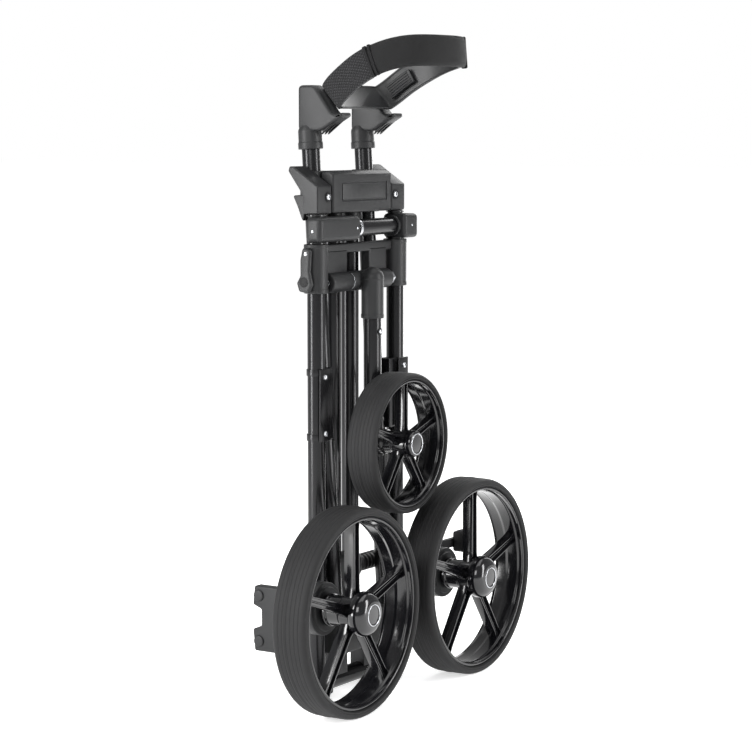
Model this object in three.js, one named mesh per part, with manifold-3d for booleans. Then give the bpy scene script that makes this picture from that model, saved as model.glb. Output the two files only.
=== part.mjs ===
// A three-wheeled golf push cart, folded flat and standing on its wheels.
// Millimetres, +Z up. +X is the cart's right side, -Y is the side the hub caps face.
// The two leg tubes turn about the vertical lines at x = +-LEG_X, y = 0.
import * as THREE from 'three';
import { mergeVertices } from 'three/addons/utils/BufferGeometryUtils.js';
import Module from 'manifold-3d';

const wasm = await Module();
wasm.setup();

// ---- driving dimensions -------------------------------------------------------------

const GAP = 0.3; // clearance between pieces that fit together
const TUBE_R = 12.7; // every frame tube is one inch across
const TUBE_WALL = 1.6;
const ROUND = 20; // facets around a tube
const WHEEL_FACETS = 48;

// main wheels
const WHEEL_R = 145;
const WHEEL_X = WHEEL_R + 13; // the two main wheels stand 26 apart
const WHEEL_FACE_Y = -117;
const TYRE_WIDTH = 54;
const TYRE_THICKNESS = 11.7;
const RIM_WALL = 5;
const SPOKE_COUNT = 5;
const HUB_R = 24;
const AXLE_R = 6;
const DRUM_R = 37;
const TOOTH_COUNT = 10;

// front wheel
const FRONT_WHEEL_R = 100;
const WHEEL_CLEARANCE = 21.41; // between its tread and the main wheels' treads
const FRONT_WHEEL_Z = WHEEL_R + Math.sqrt((WHEEL_R + FRONT_WHEEL_R + WHEEL_CLEARANCE) ** 2 - WHEEL_X ** 2);
const FRONT_TYRE_WIDTH = 48;
const FRONT_TYRE_THICKNESS = 9;
const FRONT_RIM_WALL = 4;
const FRONT_HUB_R = 19;

// legs and their sleeves
const LEG_X = 102;
const LEG_FOOT_Z = 32;
const SLEEVE_R = TUBE_R + 4.55;
const SLEEVE_Z = [575, 643];
const HEAD_PIN_R = 11;
const GUIDE_Z = [368, 470];
const GUIDE_Y = TUBE_R + 2.3;
const CARRIER_Z = [WHEEL_R - 33, WHEEL_R + 6];
const BRAKE_ARM_Y = [-33, -25];

// leaning mast tubes
const MAST_X = 67;
const MAST_Y = TUBE_R + 19.8; // at height MAST_Z, clear of the hinge in front
const MAST_Z = 773;
const MAST_LEAN = THREE.MathUtils.degToRad(3.3);
const MAST_FOOT_Z = 84;
const MAST_HEAD_Z = 800;

// fold-down handle
const STEM_X = 23;
const HANDLE_Y = TUBE_R + 14.3; // clear of the joint cover in front
const PIVOT_Z = 700;
const HANDLE_BAR_Z = 168;
const HANDLE_BAR_R = 10;
const HANDLE_HALF = 118;
const GRIP_R = 13;
const BOSS_HALF = 38;
const PIN_R = 5;

// joint head above the legs
const COVER_HALF = 75;
const COVER_Z = [685, 744];
const COVER_Y = [-11, 10.5];
const CLAMP_X = [MAST_X - TUBE_R - 4.3, MAST_X + TUBE_R - 0.7];
const CLAMP_DEPTH = 2 * TUBE_R + 7.6;
const EAR_X = [CLAMP_X[1] - 1, 112.6];
const EAR_FRONT_Y = -10;
const BAR_Z = 663;
const BAR_Y = -7;
const BAR_R = 12;

// front arm
const HINGE_R = 14;
const HINGE_Y = 9 - HINGE_R;
const HINGE_Z = 588;
const ARM_Y = HINGE_Y - 22;
const FRONT_FACE_Y = ARM_Y - TUBE_R - 55.3; // the hub stays clear of the arm tube
const ELBOW_R = TUBE_R + 3.8;
const ELBOW_Z = 535;

// base
const CROSSBAR_Y = 13;
const CROSSBAR_Z = 15;
const CROSSBAR_R = 13;
const CROSSBAR_HALF = 130;
const BASE_Z = [60, 110];
const REST_X = [66, 82];

// bag ring
const RING_BACK_Y = -2;
const RING_BACK_Z = 845;
const RING_DEPTH = 148;
const RING_HALF = 80;
const RING_RISE = 64;
const BAND_WIDTH = 42;
const BAND_THICKNESS = 4;
const PAD_THICKNESS = 9;

// ---- finishes -----------------------------------------------------------------------

const finish = (color, roughness, metalness) => (
  new THREE.MeshStandardMaterial({ color, roughness, metalness })
);
const BLACK_TUBE = finish(0x17181a, 0.3, 0.6);
const GREY_PLASTIC = finish(0x34363a, 0.6, 0);
const GLOSS_BLACK = finish(0x0b0c0e, 0.15, 0);
const TYRE_RUBBER = finish(0x26272a, 0.85, 0);
const GRIP_RUBBER = finish(0x202124, 0.8, 0);
const STEEL = finish(0xb9bcc0, 0.3, 1);
const WEBBING = finish(0x1d1e21, 0.95, 0);

// ---- geometry helpers ---------------------------------------------------------------

// One closed body: shared corners joined, and triangles of no area left out.
function weld(geometry) {
  const bare = geometry.clone();
  for (const name of Object.keys(bare.attributes)) {
    if (name !== 'position') bare.deleteAttribute(name);
  }
  const welded = mergeVertices(bare, 1e-4);
  const corners = [];
  for (let i = 0; i < welded.index.count; i += 3) {
    const [a, b, c] = [0, 1, 2].map((k) => welded.index.getX(i + k));
    if (a !== b && b !== c && c !== a) corners.push(a, b, c);
  }
  welded.setIndex(corners);
  return welded;
}

function solid(geometry) {
  const welded = weld(geometry);
  return new wasm.Manifold(new wasm.Mesh({
    numProp: 3,
    vertProperties: new Float32Array(welded.attributes.position.array),
    triVerts: new Uint32Array(welded.index.array),
  }));
}

function geometryOf(manifold) {
  const mesh = manifold.getMesh();
  const geometry = new THREE.BufferGeometry();
  geometry.setAttribute('position', new THREE.BufferAttribute(new Float32Array(mesh.vertProperties), 3));
  geometry.setIndex(new THREE.BufferAttribute(new Uint32Array(mesh.triVerts), 1));
  return geometry;
}

// Several solids joined, then cut by others.
function build(pieces, cuts = []) {
  let body = pieces.map(solid).reduce((sum, next) => sum.add(next));
  for (const cut of cuts) body = body.subtract(solid(cut));
  return geometryOf(body);
}

// Rods between two places along one axis.
function rodZ(radius, [low, high], x = 0, y = 0, facets = ROUND) {
  return new THREE.CylinderGeometry(radius, radius, high - low, facets)
    .rotateX(Math.PI / 2).translate(x, y, (low + high) / 2);
}
function rodX(radius, [low, high], y, z, facets = ROUND) {
  return new THREE.CylinderGeometry(radius, radius, high - low, facets)
    .rotateZ(Math.PI / 2).translate((low + high) / 2, y, z);
}
function rodY(radius, [low, high], x, z, facets = ROUND) {
  return new THREE.CylinderGeometry(radius, radius, high - low, facets)
    .translate(x, (low + high) / 2, z);
}

// A profile of [radius, height] pairs turned about the Y axis. A closed one runs round a ring.
function revolve(profile, { closed = true, facets = ROUND } = {}) {
  const points = profile.map(([r, h]) => new THREE.Vector2(r, h));
  if (closed) points.push(points[0].clone());
  if (THREE.ShapeUtils.area(points) < 0) points.reverse();
  return new THREE.LatheGeometry(points, facets);
}
const ring = (outer, inner, [low, high], facets = ROUND) => (
  revolve([[outer, low], [outer, high], [inner, high], [inner, low]], { facets })
);

// An outline with each corner rounded by the same radius, less where an edge is too short.
function roundedShape(outline, radius) {
  const corner = outline.map(([a, b]) => new THREE.Vector2(a, b));
  if (radius === 0) return new THREE.Shape(corner);
  const shape = new THREE.Shape();
  corner.forEach((here, i) => {
    const before = corner[(i + corner.length - 1) % corner.length];
    const after = corner[(i + 1) % corner.length];
    const [back, on] = [before.clone().sub(here), after.clone().sub(here)];
    const half = back.angleTo(on) / 2;
    const setback = Math.min(radius / Math.tan(half), 0.45 * back.length(), 0.45 * on.length());
    const start = back.setLength(setback).add(here);
    const end = on.setLength(setback).add(here);
    if (i === 0) shape.moveTo(start.x, start.y);
    else shape.lineTo(start.x, start.y);
    shape.quadraticCurveTo(here.x, here.y, end.x, end.y);
  });
  shape.closePath();
  return shape;
}

function extruded(outline, length, corner, bevel) {
  const radius = Math.max(corner, 2 * bevel); // a bevel must not use up the corner
  return new THREE.ExtrudeGeometry(roundedShape(outline, radius), {
    depth: length - 2 * bevel,
    curveSegments: 2,
    bevelEnabled: bevel > 0,
    bevelThickness: bevel,
    bevelSize: bevel,
    bevelOffset: -bevel,
    bevelSegments: 1,
  }).translate(0, 0, bevel);
}
const [AXIS_X, AXIS_Y, AXIS_Z] = [[1, 0, 0], [0, 1, 0], [0, 0, 1]].map((v) => new THREE.Vector3(...v));
// An outline in (y, z) run along X, one in (x, y) run along Z, and one in (z, x) run along Y.
function prismX(outline, [low, high], corner = 2, bevel = 1) {
  return extruded(outline, high - low, corner, bevel)
    .applyMatrix4(new THREE.Matrix4().makeBasis(AXIS_Y, AXIS_Z, AXIS_X)).translate(low, 0, 0);
}
function prismZ(outline, [low, high], corner = 2, bevel = 1) {
  return extruded(outline, high - low, corner, bevel).translate(0, 0, low);
}
function prismY(outline, [low, high], corner = 2, bevel = 1) {
  return extruded(outline, high - low, corner, bevel)
    .applyMatrix4(new THREE.Matrix4().makeBasis(AXIS_Z, AXIS_X, AXIS_Y)).translate(0, low, 0);
}
const rectangle = ([a0, a1], [b0, b1]) => [[a0, b0], [a1, b0], [a1, b1], [a0, b1]];
const block = (x, y, z, corner = 2, bevel = 1) => prismX(rectangle(y, z), x, corner, bevel);

// The same range on the left (-1) or the right (+1) of the cart.
const sided = (side, [near, far]) => (side > 0 ? [near, far] : [-far, -near]);

function part(parent, name, geometry, material) {
  const mesh = new THREE.Mesh(weld(geometry), material);
  mesh.name = name;
  parent.add(mesh);
  return mesh;
}
function groupAt(parent, x, y, z) {
  const group = new THREE.Group();
  group.position.set(x, y, z);
  parent.add(group);
  return group;
}

// The mast tubes' centre line, and a rod along it between two heights.
const mastY = (z) => MAST_Y - (MAST_Z - z) * Math.tan(MAST_LEAN);
function mastRod(side, radius, [low, high], inner = 0) {
  const length = (high - low) / Math.cos(MAST_LEAN);
  const shape = inner > 0
    ? ring(radius, inner, [-length / 2, length / 2])
    : new THREE.CylinderGeometry(radius, radius, length, ROUND);
  const middle = (low + high) / 2;
  return shape.rotateX(Math.PI / 2 - MAST_LEAN).translate(side * MAST_X, mastY(middle), middle);
}
const mastCut = (side, [low, high]) => mastRod(side, TUBE_R + GAP, [low, high]);

const SIDES = [[-1, 'left'], [1, 'right']];
const cart = new THREE.Group();

// ---- wheels -------------------------------------------------------------------------

// A wheel about its own Y axis, with the tyre's front face at y = 0.
function wheel(parent, prefix, size) {
  const bead = size.radius - size.tyre;
  const opening = bead - size.rim;
  const w = size.width;
  const tread = size.radius;
  part(parent, `${prefix}_tyre`, revolve([
    [bead, 2], [bead + 2, 0], [tread - 4, 0], [tread, 5],
    [tread, w - 5], [tread - 4, w], [bead + 2, w], [bead, w - 2],
  ], { facets: WHEEL_FACETS }), TYRE_RUBBER);

  const spokes = Array.from({ length: SPOKE_COUNT }, (_, i) => {
    const reach = opening + size.rim / 2;
    return prismY([
      [size.hub * 0.6, -size.spoke], [reach, -size.spoke * 0.75],
      [reach, size.spoke * 0.75], [size.hub * 0.6, size.spoke],
    ], [size.spokeY, size.spokeY + size.spokeDepth], 0, 0)
      .rotateY((i * 2 * Math.PI) / SPOKE_COUNT);
  });
  const band = ring(bead - GAP, opening, [3, w - 3], WHEEL_FACETS);
  const barrel = rodY(size.hub, [size.hubY[0], size.hubY[1]], 0, 0);
  const bore = rodY(AXLE_R + GAP, [size.hubY[0] - 1, size.hubY[1] + 1], 0, 0);
  part(parent, `${prefix}_rim`, build([band, barrel, ...spokes], [bore]), GLOSS_BLACK);

  const capBack = size.hubY[0] - GAP;
  part(parent, `${prefix}_hub_cap`, revolve([
    [0, capBack], [size.hub, capBack], [size.capRing + 4, capBack - size.cap * 0.7],
    [size.capRing, capBack - size.cap], [0, capBack - size.cap],
  ], { closed: false }), GLOSS_BLACK);
}

const MAIN_WHEEL = {
  radius: WHEEL_R, tyre: TYRE_THICKNESS, rim: RIM_WALL, width: TYRE_WIDTH,
  hub: HUB_R, hubY: [0, 58], spoke: 8, spokeY: 13, spokeDepth: 14, cap: 15, capRing: 17,
};
const FRONT_WHEEL = {
  radius: FRONT_WHEEL_R, tyre: FRONT_TYRE_THICKNESS, rim: FRONT_RIM_WALL, width: FRONT_TYRE_WIDTH,
  hub: FRONT_HUB_R, hubY: [0, 50], spoke: 6, spokeY: 12, spokeDepth: 12, cap: 7, capRing: 15,
};

// The toothed drum that the parking brake drops into, fixed to the back of a main wheel.
function brakeDrum(parent, prefix) {
  const [front, back] = [60, 78];
  const [depth, height, width] = [6, 5, 8];
  const tooth = (angle) => new THREE.BoxGeometry(depth, height, width)
    .translate(DRUM_R - depth / 2 - 0.5, back + height / 2 - 1, 0).rotateY(angle);
  const teeth = Array.from({ length: TOOTH_COUNT }, (_, i) => tooth((i * 2 * Math.PI) / TOOTH_COUNT));
  const shell = ring(DRUM_R, AXLE_R + GAP, [front, back]);
  part(parent, `${prefix}_brake_drum`, build([shell, ...teeth]), GREY_PLASTIC);
}

// ---- legs ---------------------------------------------------------------------------

// A leg in its own group: the tube stands on the group's origin line.
function leg(side, word) {
  const group = groupAt(cart, side * LEG_X, 0, 0);
  const tube = ring(TUBE_R, TUBE_R - TUBE_WALL, [LEG_FOOT_Z, SLEEVE_Z[1] - 6]).rotateX(Math.PI / 2);
  part(group, `leg_tube_${word}`, tube, BLACK_TUBE);

  // The carrier clamps the tube and holds the axle out beside it.
  const out = side * (WHEEL_X - LEG_X);
  const axleZ = WHEEL_R;
  const bossY = [-34, -20];
  const webY = (y) => [[0, y - 9], [out, bossY[0] + 2], [out, bossY[1]], [0, y + 9]];
  const web = side > 0 ? webY(0) : webY(0).reverse();
  part(group, `axle_carrier_${word}`, build(
    [
      rodZ(TUBE_R + 4, CARRIER_Z),
      prismZ(web, [CARRIER_Z[0] + 12, CARRIER_Z[1]], 1, 1),
      rodY(AXLE_R + 8, bossY, out, axleZ),
      block([out - 8, out + 8], [BRAKE_ARM_Y[1] + GAP, -19], [axleZ, axleZ + 37], 2, 1),
    ],
    [rodZ(TUBE_R + GAP, [CARRIER_Z[0] - 1, CARRIER_Z[1] + 1]),
      rodY(AXLE_R + GAP, [bossY[0] - 1, bossY[1] - 3], out, axleZ)],
  ), GREY_PLASTIC);
  part(group, `axle_${word}`, rodY(AXLE_R, [WHEEL_FACE_Y + 1, bossY[1] - 3 - GAP], out, axleZ, 16), STEEL);

  // Parking brake: an arm behind the drum with a padded pedal at its end.
  const armX = sided(side, [side * out - 6, side * out + 74]);
  const pedalX = sided(side, [side * out + 56, side * out + 80]);
  part(group, `brake_pedal_${word}`, build([
    block(armX, BRAKE_ARM_Y, [axleZ + 27, axleZ + 41], 2, 1),
    rodY(9, BRAKE_ARM_Y, out, axleZ + 29),
    block(pedalX, [-60, BRAKE_ARM_Y[0] + 1], [axleZ + 21, axleZ + 52], 4, 2),
  ]), GRIP_RUBBER);

  const wheelGroup = groupAt(group, out, WHEEL_FACE_Y, WHEEL_R);
  wheel(wheelGroup, `wheel_${word}`, MAIN_WHEEL);
  brakeDrum(wheelGroup, `wheel_${word}`);
}

// ---- frame --------------------------------------------------------------------------

function mastAndSleeves(side, word) {
  const tube = mastRod(side, TUBE_R, [MAST_FOOT_Z, MAST_HEAD_Z], TUBE_R - TUBE_WALL);
  part(cart, `mast_tube_${word}`, tube, BLACK_TUBE);

  // A leg turns inside its sleeve, whose head pin holds the front bar and the joint housing.
  const x = side * LEG_X;
  const socket = [SLEEVE_Z[0] - 1, SLEEVE_Z[1] - 5];
  part(cart, `leg_sleeve_${word}`, build(
    [rodZ(SLEEVE_R, SLEEVE_Z, x), rodZ(HEAD_PIN_R, [SLEEVE_Z[1] - 1, COVER_Z[0] - GAP], x)],
    [rodZ(TUBE_R + GAP, socket, x)],
  ), GREY_PLASTIC);

  // The guide ties the leg to the mast tube beside it.
  const guideX = sided(side, [MAST_X + 6, LEG_X + TUBE_R + 3]);
  part(cart, `leg_guide_${word}`, build(
    [prismZ(rectangle(guideX, [-GUIDE_Y, GUIDE_Y]), GUIDE_Z, 5, 1)],
    [rodZ(TUBE_R + GAP, [GUIDE_Z[0] - 1, GUIDE_Z[1] + 1], x),
      mastCut(side, [GUIDE_Z[0] - 5, GUIDE_Z[1] + 5])],
  ), GREY_PLASTIC);
}

function upperElbow(side, word) {
  const outline = [[8, 799], [46, 799], [46, 863], [18, 863], [-12.5, 822], [-28, 825], [-28, 819]];
  part(cart, `elbow_${word}`, build(
    [prismX(outline, sided(side, [54, 80]), 3, 1.5),
      mastRod(side, 17.2, [774, 783]), mastRod(side, 16.6, [782, 801])],
    [mastCut(side, [MAST_FOOT_Z, MAST_HEAD_Z + 1])],
  ), GREY_PLASTIC);
}

function jointHead() {
  const [low, high] = COVER_Z;
  const [front, back] = COVER_Y;
  const outline = [[front, low], [back, low], [back, high], [front + 8, high], [front, high - 5]];
  const panelX = [-COVER_HALF + 22, COVER_HALF - 12];
  const panel = block(panelX, [front - 1, front + 1.2], [low + 16, high - 16], 2, 0);
  const cover = prismX(outline, [-COVER_HALF, COVER_HALF], 3, 2);
  part(cart, 'joint_cover', build([cover], [panel]), GREY_PLASTIC);

  // The housing: a clamp on each mast tube, an ear outside it, and a bridge behind the cover.
  const ear = [
    [EAR_FRONT_Y, low], [15, low], [15, low + 25], [40, low + 59], [38, low + 66],
    [31, low + 65], [EAR_FRONT_Y, low + 38],
  ];
  const bridgeX = [-CLAMP_X[0] - 1, CLAMP_X[0] + 1];
  part(cart, 'joint_housing', build(
    [block(bridgeX, [back + GAP, back + 7], [low + 39, high], 1, 0),
      ...SIDES.flatMap(([side]) => [
        block(sided(side, CLAMP_X), [back + GAP, back + CLAMP_DEPTH], [low - 2, high], 3, 1.5),
        prismX(ear, sided(side, EAR_X), 3, 1.5),
      ])],
    SIDES.map(([side]) => mastCut(side, [low - 10, high + 20])),
  ), GREY_PLASTIC);
  const pinX = CLAMP_X[0] - GAP;
  part(cart, 'handle_pivot_pin', rodX(PIN_R, [-pinX, pinX], HANDLE_Y, PIVOT_Z, 16), STEEL);
}

// The bar across the front, with its clamp block and end block.
function headBar() {
  const pinCut = (side) => rodZ(HEAD_PIN_R + GAP, [600, 720], side * LEG_X);
  const barCut = rodX(BAR_R + GAP, [-40, LEG_X - 5], BAR_Y, BAR_Z);
  part(cart, 'bar_clamp_block', build(
    [block([-122, -18], [-21, 6], [646, 681], 7, 4)], [pinCut(-1), barCut],
  ), GREY_PLASTIC);
  part(cart, 'bar_end_block', build(
    [block([86, 122], [-28, 12], [645, 680], 6, 3), rodX(15, [79, 87], BAR_Y, BAR_Z)],
    [pinCut(1), rodX(BAR_R + GAP, [70, 88], BAR_Y, BAR_Z)],
  ), GREY_PLASTIC);
  part(cart, 'cross_bar', rodX(BAR_R, [-39, 88 - GAP], BAR_Y, BAR_Z), BLACK_TUBE);
}

// The plate between the sleeves and the fixed halves of the front arm's hinge.
function armBracket() {
  const inner = LEG_X - SLEEVE_R - GAP;
  const plateY = [-6, 8.5];
  const knuckle = [-31, 24];
  const lug = (x) => [
    block(x, plateY, [HINGE_Z, 630], 1, 0), rodX(HINGE_R, x, HINGE_Y, HINGE_Z),
  ];
  part(cart, 'arm_bracket', build(
    [block([-inner, inner], plateY, [628.5, 642], 2, 1),
      ...lug([-inner + 1, knuckle[0] - 1]), ...lug([knuckle[1] + 1, 70])],
    [rodX(PIN_R + GAP, [-inner - 1, inner + 1], HINGE_Y, HINGE_Z, 16)],
  ), GREY_PLASTIC);
  part(cart, 'hinge_bolt', build([
    rodX(PIN_R, [-inner, 72], HINGE_Y, HINGE_Z, 16), rodX(10, [70 + GAP, 82], HINGE_Y, HINGE_Z, 6),
  ]), STEEL);
  return knuckle;
}

function base() {
  const [low, high] = BASE_Z;
  const saddle = (side) => block(sided(side, [22, 58]), [2, 26], [CROSSBAR_Z, low + 1], 3, 0);
  part(cart, 'base_casting', build(
    [block([-REST_X[1], REST_X[1]], [-26, 24], BASE_Z, 5, 2.5), saddle(-1), saddle(1)],
    [rodX(CROSSBAR_R + GAP, [-90, 90], CROSSBAR_Y, CROSSBAR_Z),
      ...SIDES.map(([side]) => mastCut(side, [MAST_FOOT_Z - GAP, high + 5]))],
  ), GREY_PLASTIC);

  // The crossbar carries the plug that each leg turns on, and stands on two rubber feet.
  const plugs = SIDES.flatMap(([side]) => [
    block(sided(side, [LEG_X - 13, LEG_X + 13]), [-13, 29], [4, LEG_FOOT_Z - 1], 4, 2),
    rodZ(TUBE_R - TUBE_WALL - GAP, [20, 70], side * LEG_X),
  ]);
  const bar = (radius) => rodX(radius, [-CROSSBAR_HALF, CROSSBAR_HALF], CROSSBAR_Y, CROSSBAR_Z);
  part(cart, 'bottom_crossbar', build([bar(CROSSBAR_R), ...plugs]), BLACK_TUBE);
  for (const [side, word] of SIDES) {
    const foot = block(sided(side, [62, 86]), [-1, 27], [0, 13], 2, 0);
    part(cart, `foot_${word}`, build([foot], [bar(CROSSBAR_R + GAP)]), GRIP_RUBBER);
  }
}

// A bag rest arm behind the base: two hinge barrels with a recess between them.
function bagRest(side, word) {
  const outline = [
    [24 + GAP, 64], [70, 62], [74, 50], [124, 50], [127, 82], [112, 88],
    [112, 112], [127, 118], [124, 146], [74, 146], [70, 106], [24 + GAP, 106],
  ];
  part(cart, `bag_rest_${word}`, prismX(outline, sided(side, REST_X), 2.5, 1.5), GREY_PLASTIC);
}

// ---- handle -------------------------------------------------------------------------

function handle() {
  const stems = SIDES.map(([side]) => side * STEM_X);
  const knuckleHalf = CLAMP_X[0] - 2;
  const collarZ = [662, PIVOT_Z];
  part(cart, 'handle_knuckle', build(
    [rodX(13, [-knuckleHalf, knuckleHalf], HANDLE_Y, PIVOT_Z),
      ...stems.map((x) => rodZ(TUBE_R + 2.6, collarZ, x, HANDLE_Y))],
    [rodX(PIN_R + GAP, [-knuckleHalf - 1, knuckleHalf + 1], HANDLE_Y, PIVOT_Z, 16),
      ...stems.map((x) => rodZ(TUBE_R + GAP, [collarZ[0] - 1, PIVOT_Z - 14], x, HANDLE_Y))],
  ), GREY_PLASTIC);
  const bossZ = [HANDLE_BAR_Z - 17, HANDLE_BAR_Z + 22];
  stems.forEach((x, i) => {
    const tube = ring(TUBE_R, TUBE_R - TUBE_WALL, [bossZ[1] - 8, PIVOT_Z - 14 - GAP])
      .rotateX(Math.PI / 2).translate(x, HANDLE_Y, 0);
    part(cart, `handle_stem_${SIDES[i][1]}`, tube, BLACK_TUBE);
  });
  part(cart, 'handle_boss', build(
    [block([-BOSS_HALF, BOSS_HALF], [12, 46], bossZ, 10, 3)],
    [...stems.map((x) => rodZ(TUBE_R + GAP, [bossZ[1] - 8 - GAP, bossZ[1] + 1], x, HANDLE_Y)),
      rodX(HANDLE_BAR_R + GAP, [-BOSS_HALF - 1, BOSS_HALF + 1], HANDLE_Y + 3, HANDLE_BAR_Z)],
  ), GREY_PLASTIC);
  part(cart, 'handle_bar',
    rodX(HANDLE_BAR_R, [-HANDLE_HALF + 3, HANDLE_HALF - 3], HANDLE_Y + 3, HANDLE_BAR_Z), BLACK_TUBE);
  const gripEnd = HANDLE_HALF - 3 + GAP;
  for (const [side, word] of SIDES) {
    part(cart, `grip_${word}`, build(
      [rodX(GRIP_R, sided(side, [BOSS_HALF + GAP, HANDLE_HALF]), HANDLE_Y + 3, HANDLE_BAR_Z)],
      [rodX(HANDLE_BAR_R + GAP, [-gripEnd, gripEnd], HANDLE_Y + 3, HANDLE_BAR_Z)],
    ), GRIP_RUBBER);
  }
}

// ---- front arm ----------------------------------------------------------------------

function frontArm(knuckle) {
  const dome = new THREE.SphereGeometry(ELBOW_R, ROUND, 12).translate(0, ARM_Y, HINGE_Z + 3);
  part(cart, 'arm_knuckle', build(
    [rodX(HINGE_R, knuckle, HINGE_Y, HINGE_Z), rodZ(ELBOW_R, [ELBOW_Z, HINGE_Z + 3], 0, ARM_Y),
      dome, block([-13, 13], [ARM_Y, HINGE_Y], [HINGE_Z - 12, HINGE_Z + 12], 1, 0)],
    [rodX(PIN_R + GAP, [knuckle[0] - 1, knuckle[1] + 1], HINGE_Y, HINGE_Z, 16),
      rodZ(TUBE_R + GAP, [ELBOW_Z - 1, ELBOW_Z + 30], 0, ARM_Y)],
  ), GREY_PLASTIC);

  const hubZ = FRONT_WHEEL_Z;
  const tube = ring(TUBE_R, TUBE_R - TUBE_WALL, [hubZ + 12, ELBOW_Z + 30 - GAP])
    .rotateX(Math.PI / 2).translate(0, ARM_Y, 0);
  const buttonZ = 516;
  const buttonHole = rodY(3.6, [ARM_Y - 20, ARM_Y], 0, buttonZ, 16);
  part(cart, 'arm_tube', build([tube], [buttonHole]), BLACK_TUBE);
  part(cart, 'spring_button', rodY(3.2, [ARM_Y - TUBE_R - 2.6, ARM_Y - 6], 0, buttonZ, 16), STEEL);

  const back = FRONT_FACE_Y + FRONT_WHEEL.hubY[1] + GAP;
  part(cart, 'front_axle_carrier', build(
    [rodZ(TUBE_R + 3.3, [hubZ - 22, hubZ + 34], 0, ARM_Y), rodY(15, [back, ARM_Y], 0, hubZ)],
    [rodZ(TUBE_R + GAP, [hubZ + 12 - GAP, hubZ + 40], 0, ARM_Y),
      rodY(AXLE_R + GAP, [back - 1, ARM_Y], 0, hubZ, 16)],
  ), GREY_PLASTIC);
  part(cart, 'front_axle', rodY(AXLE_R, [FRONT_FACE_Y + 1, ARM_Y - GAP], 0, hubZ, 16), STEEL);
  wheel(groupAt(cart, 0, FRONT_FACE_Y, hubZ), 'front_wheel', FRONT_WHEEL);
}

// ---- levers -------------------------------------------------------------------------

function levers() {
  // Quick release beside the left sleeve.
  const x = [-LEG_X - SLEEVE_R - 9, -LEG_X - SLEEVE_R - 1.5];
  const outline = [
    [-8, 636], [6, 640], [10, 622], [10, 600], [16, 590], [12, 578], [-4, 576], [-10, 588], [-6, 606],
  ];
  part(cart, 'quick_release_lever', prismX(outline, x, 3, 2), GREY_PLASTIC);

  // Latch behind the left ear that holds the handle joint shut.
  const latch = [[17, 712], [38, 710], [30, 694], [21, 672], [17, 690]];
  part(cart, 'joint_latch', prismX(latch, [-104, -88], 1.5, 1), GREY_PLASTIC);
}

// ---- bag ring -----------------------------------------------------------------------

// The ring's centre line seen from above, as a closed rounded loop.
function ringPlan() {
  const w = RING_HALF;
  const d = RING_DEPTH;
  const heel = 1.4 - MAST_X; // over the elbow's inner half
  const left = [
    [heel, 0], [-0.98 * w, 0.26 * d], [-w, 0.55 * d], [-0.8 * w, 0.88 * d], [-0.36 * w, 0.99 * d],
  ];
  const right = left.map(([x, y]) => [-x, y]).reverse();
  const points = [...left, ...right].map(([x, y]) => new THREE.Vector3(x, RING_BACK_Y - y, 0));
  return new THREE.CatmullRomCurve3(points, true, 'centripetal');
}

// The band rises towards the front, steeply at first and level at the far end.
function ringHeight(y) {
  const u = THREE.MathUtils.clamp((RING_BACK_Y - y) / RING_DEPTH, 0, 1);
  return { z: RING_BACK_Z + RING_RISE * u * (2 - u), slope: (2 * RING_RISE * (1 - u)) / RING_DEPTH };
}

// A band along the loop from one fraction to another, set off by `out` from its middle.
function band(from, to, out, thickness, width, steps) {
  const plan = ringPlan();
  const whole = to - from >= 1;
  const count = whole ? steps : steps + 1;
  const position = [];
  for (let i = 0; i < count; i += 1) {
    const t = from + ((to - from) * i) / steps;
    const here = plan.getPointAt(((t % 1) + 1) % 1);
    const ahead = plan.getTangentAt(((t % 1) + 1) % 1);
    const { z, slope } = ringHeight(here.y);
    const up = new THREE.Vector3(0, slope, 1).normalize();
    const along = new THREE.Vector3(ahead.x, ahead.y, -ahead.y * slope).normalize();
    const outward = new THREE.Vector3().crossVectors(along, up).normalize();
    const middle = new THREE.Vector3(here.x, here.y, z);
    for (const [a, b] of [[0, -0.5], [1, -0.5], [1, 0.5], [0, 0.5]]) {
      const p = middle.clone().addScaledVector(outward, out + a * thickness).addScaledVector(up, b * width);
      position.push(p.x, p.y, p.z);
    }
  }
  const index = [];
  const loops = whole ? count : count - 1;
  for (let i = 0; i < loops; i += 1) {
    for (let k = 0; k < 4; k += 1) {
      const [a, b] = [i * 4 + k, i * 4 + ((k + 1) % 4)];
      const next = (v) => (v + 4) % (count * 4);
      index.push(a, next(a), b, b, next(a), next(b));
    }
  }
  if (!whole) {
    const last = (count - 1) * 4;
    index.push(0, 1, 2, 0, 2, 3, last, last + 2, last + 1, last, last + 3, last + 2);
  }
  const geometry = new THREE.BufferGeometry();
  geometry.setAttribute('position', new THREE.BufferAttribute(new Float32Array(position), 3));
  geometry.setIndex(index);
  return geometry;
}

// From the left elbow: elastic strap, padded sleeve round the front, then a rigid band that
// runs down the right side and across the back, with the strap's buckle inside it.
function bagRing() {
  const inside = -BAND_THICKNESS - 1;
  part(cart, 'cradle_ring', band(0.44, 0.995, inside, BAND_THICKNESS, BAND_WIDTH, 26), GREY_PLASTIC);
  part(cart, 'cradle_strap', band(0.005, 0.138, 0, 3, BAND_WIDTH + 1, 8), WEBBING);
  part(cart, 'cradle_pad', band(0.141, 0.5, 0, PAD_THICKNESS, BAND_WIDTH + 2, 18), WEBBING);
  part(cart, 'strap_buckle', band(0.5, 0.56, inside - 6, 5, 18, 3), GREY_PLASTIC);
}

// ---- assembly -----------------------------------------------------------------------

for (const [side, word] of SIDES) {
  leg(side, word);
  mastAndSleeves(side, word);
  upperElbow(side, word);
  bagRest(side, word);
}
jointHead();
headBar();
const knuckle = armBracket();
base();
handle();
frontArm(knuckle);
levers();
bagRing();

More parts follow.
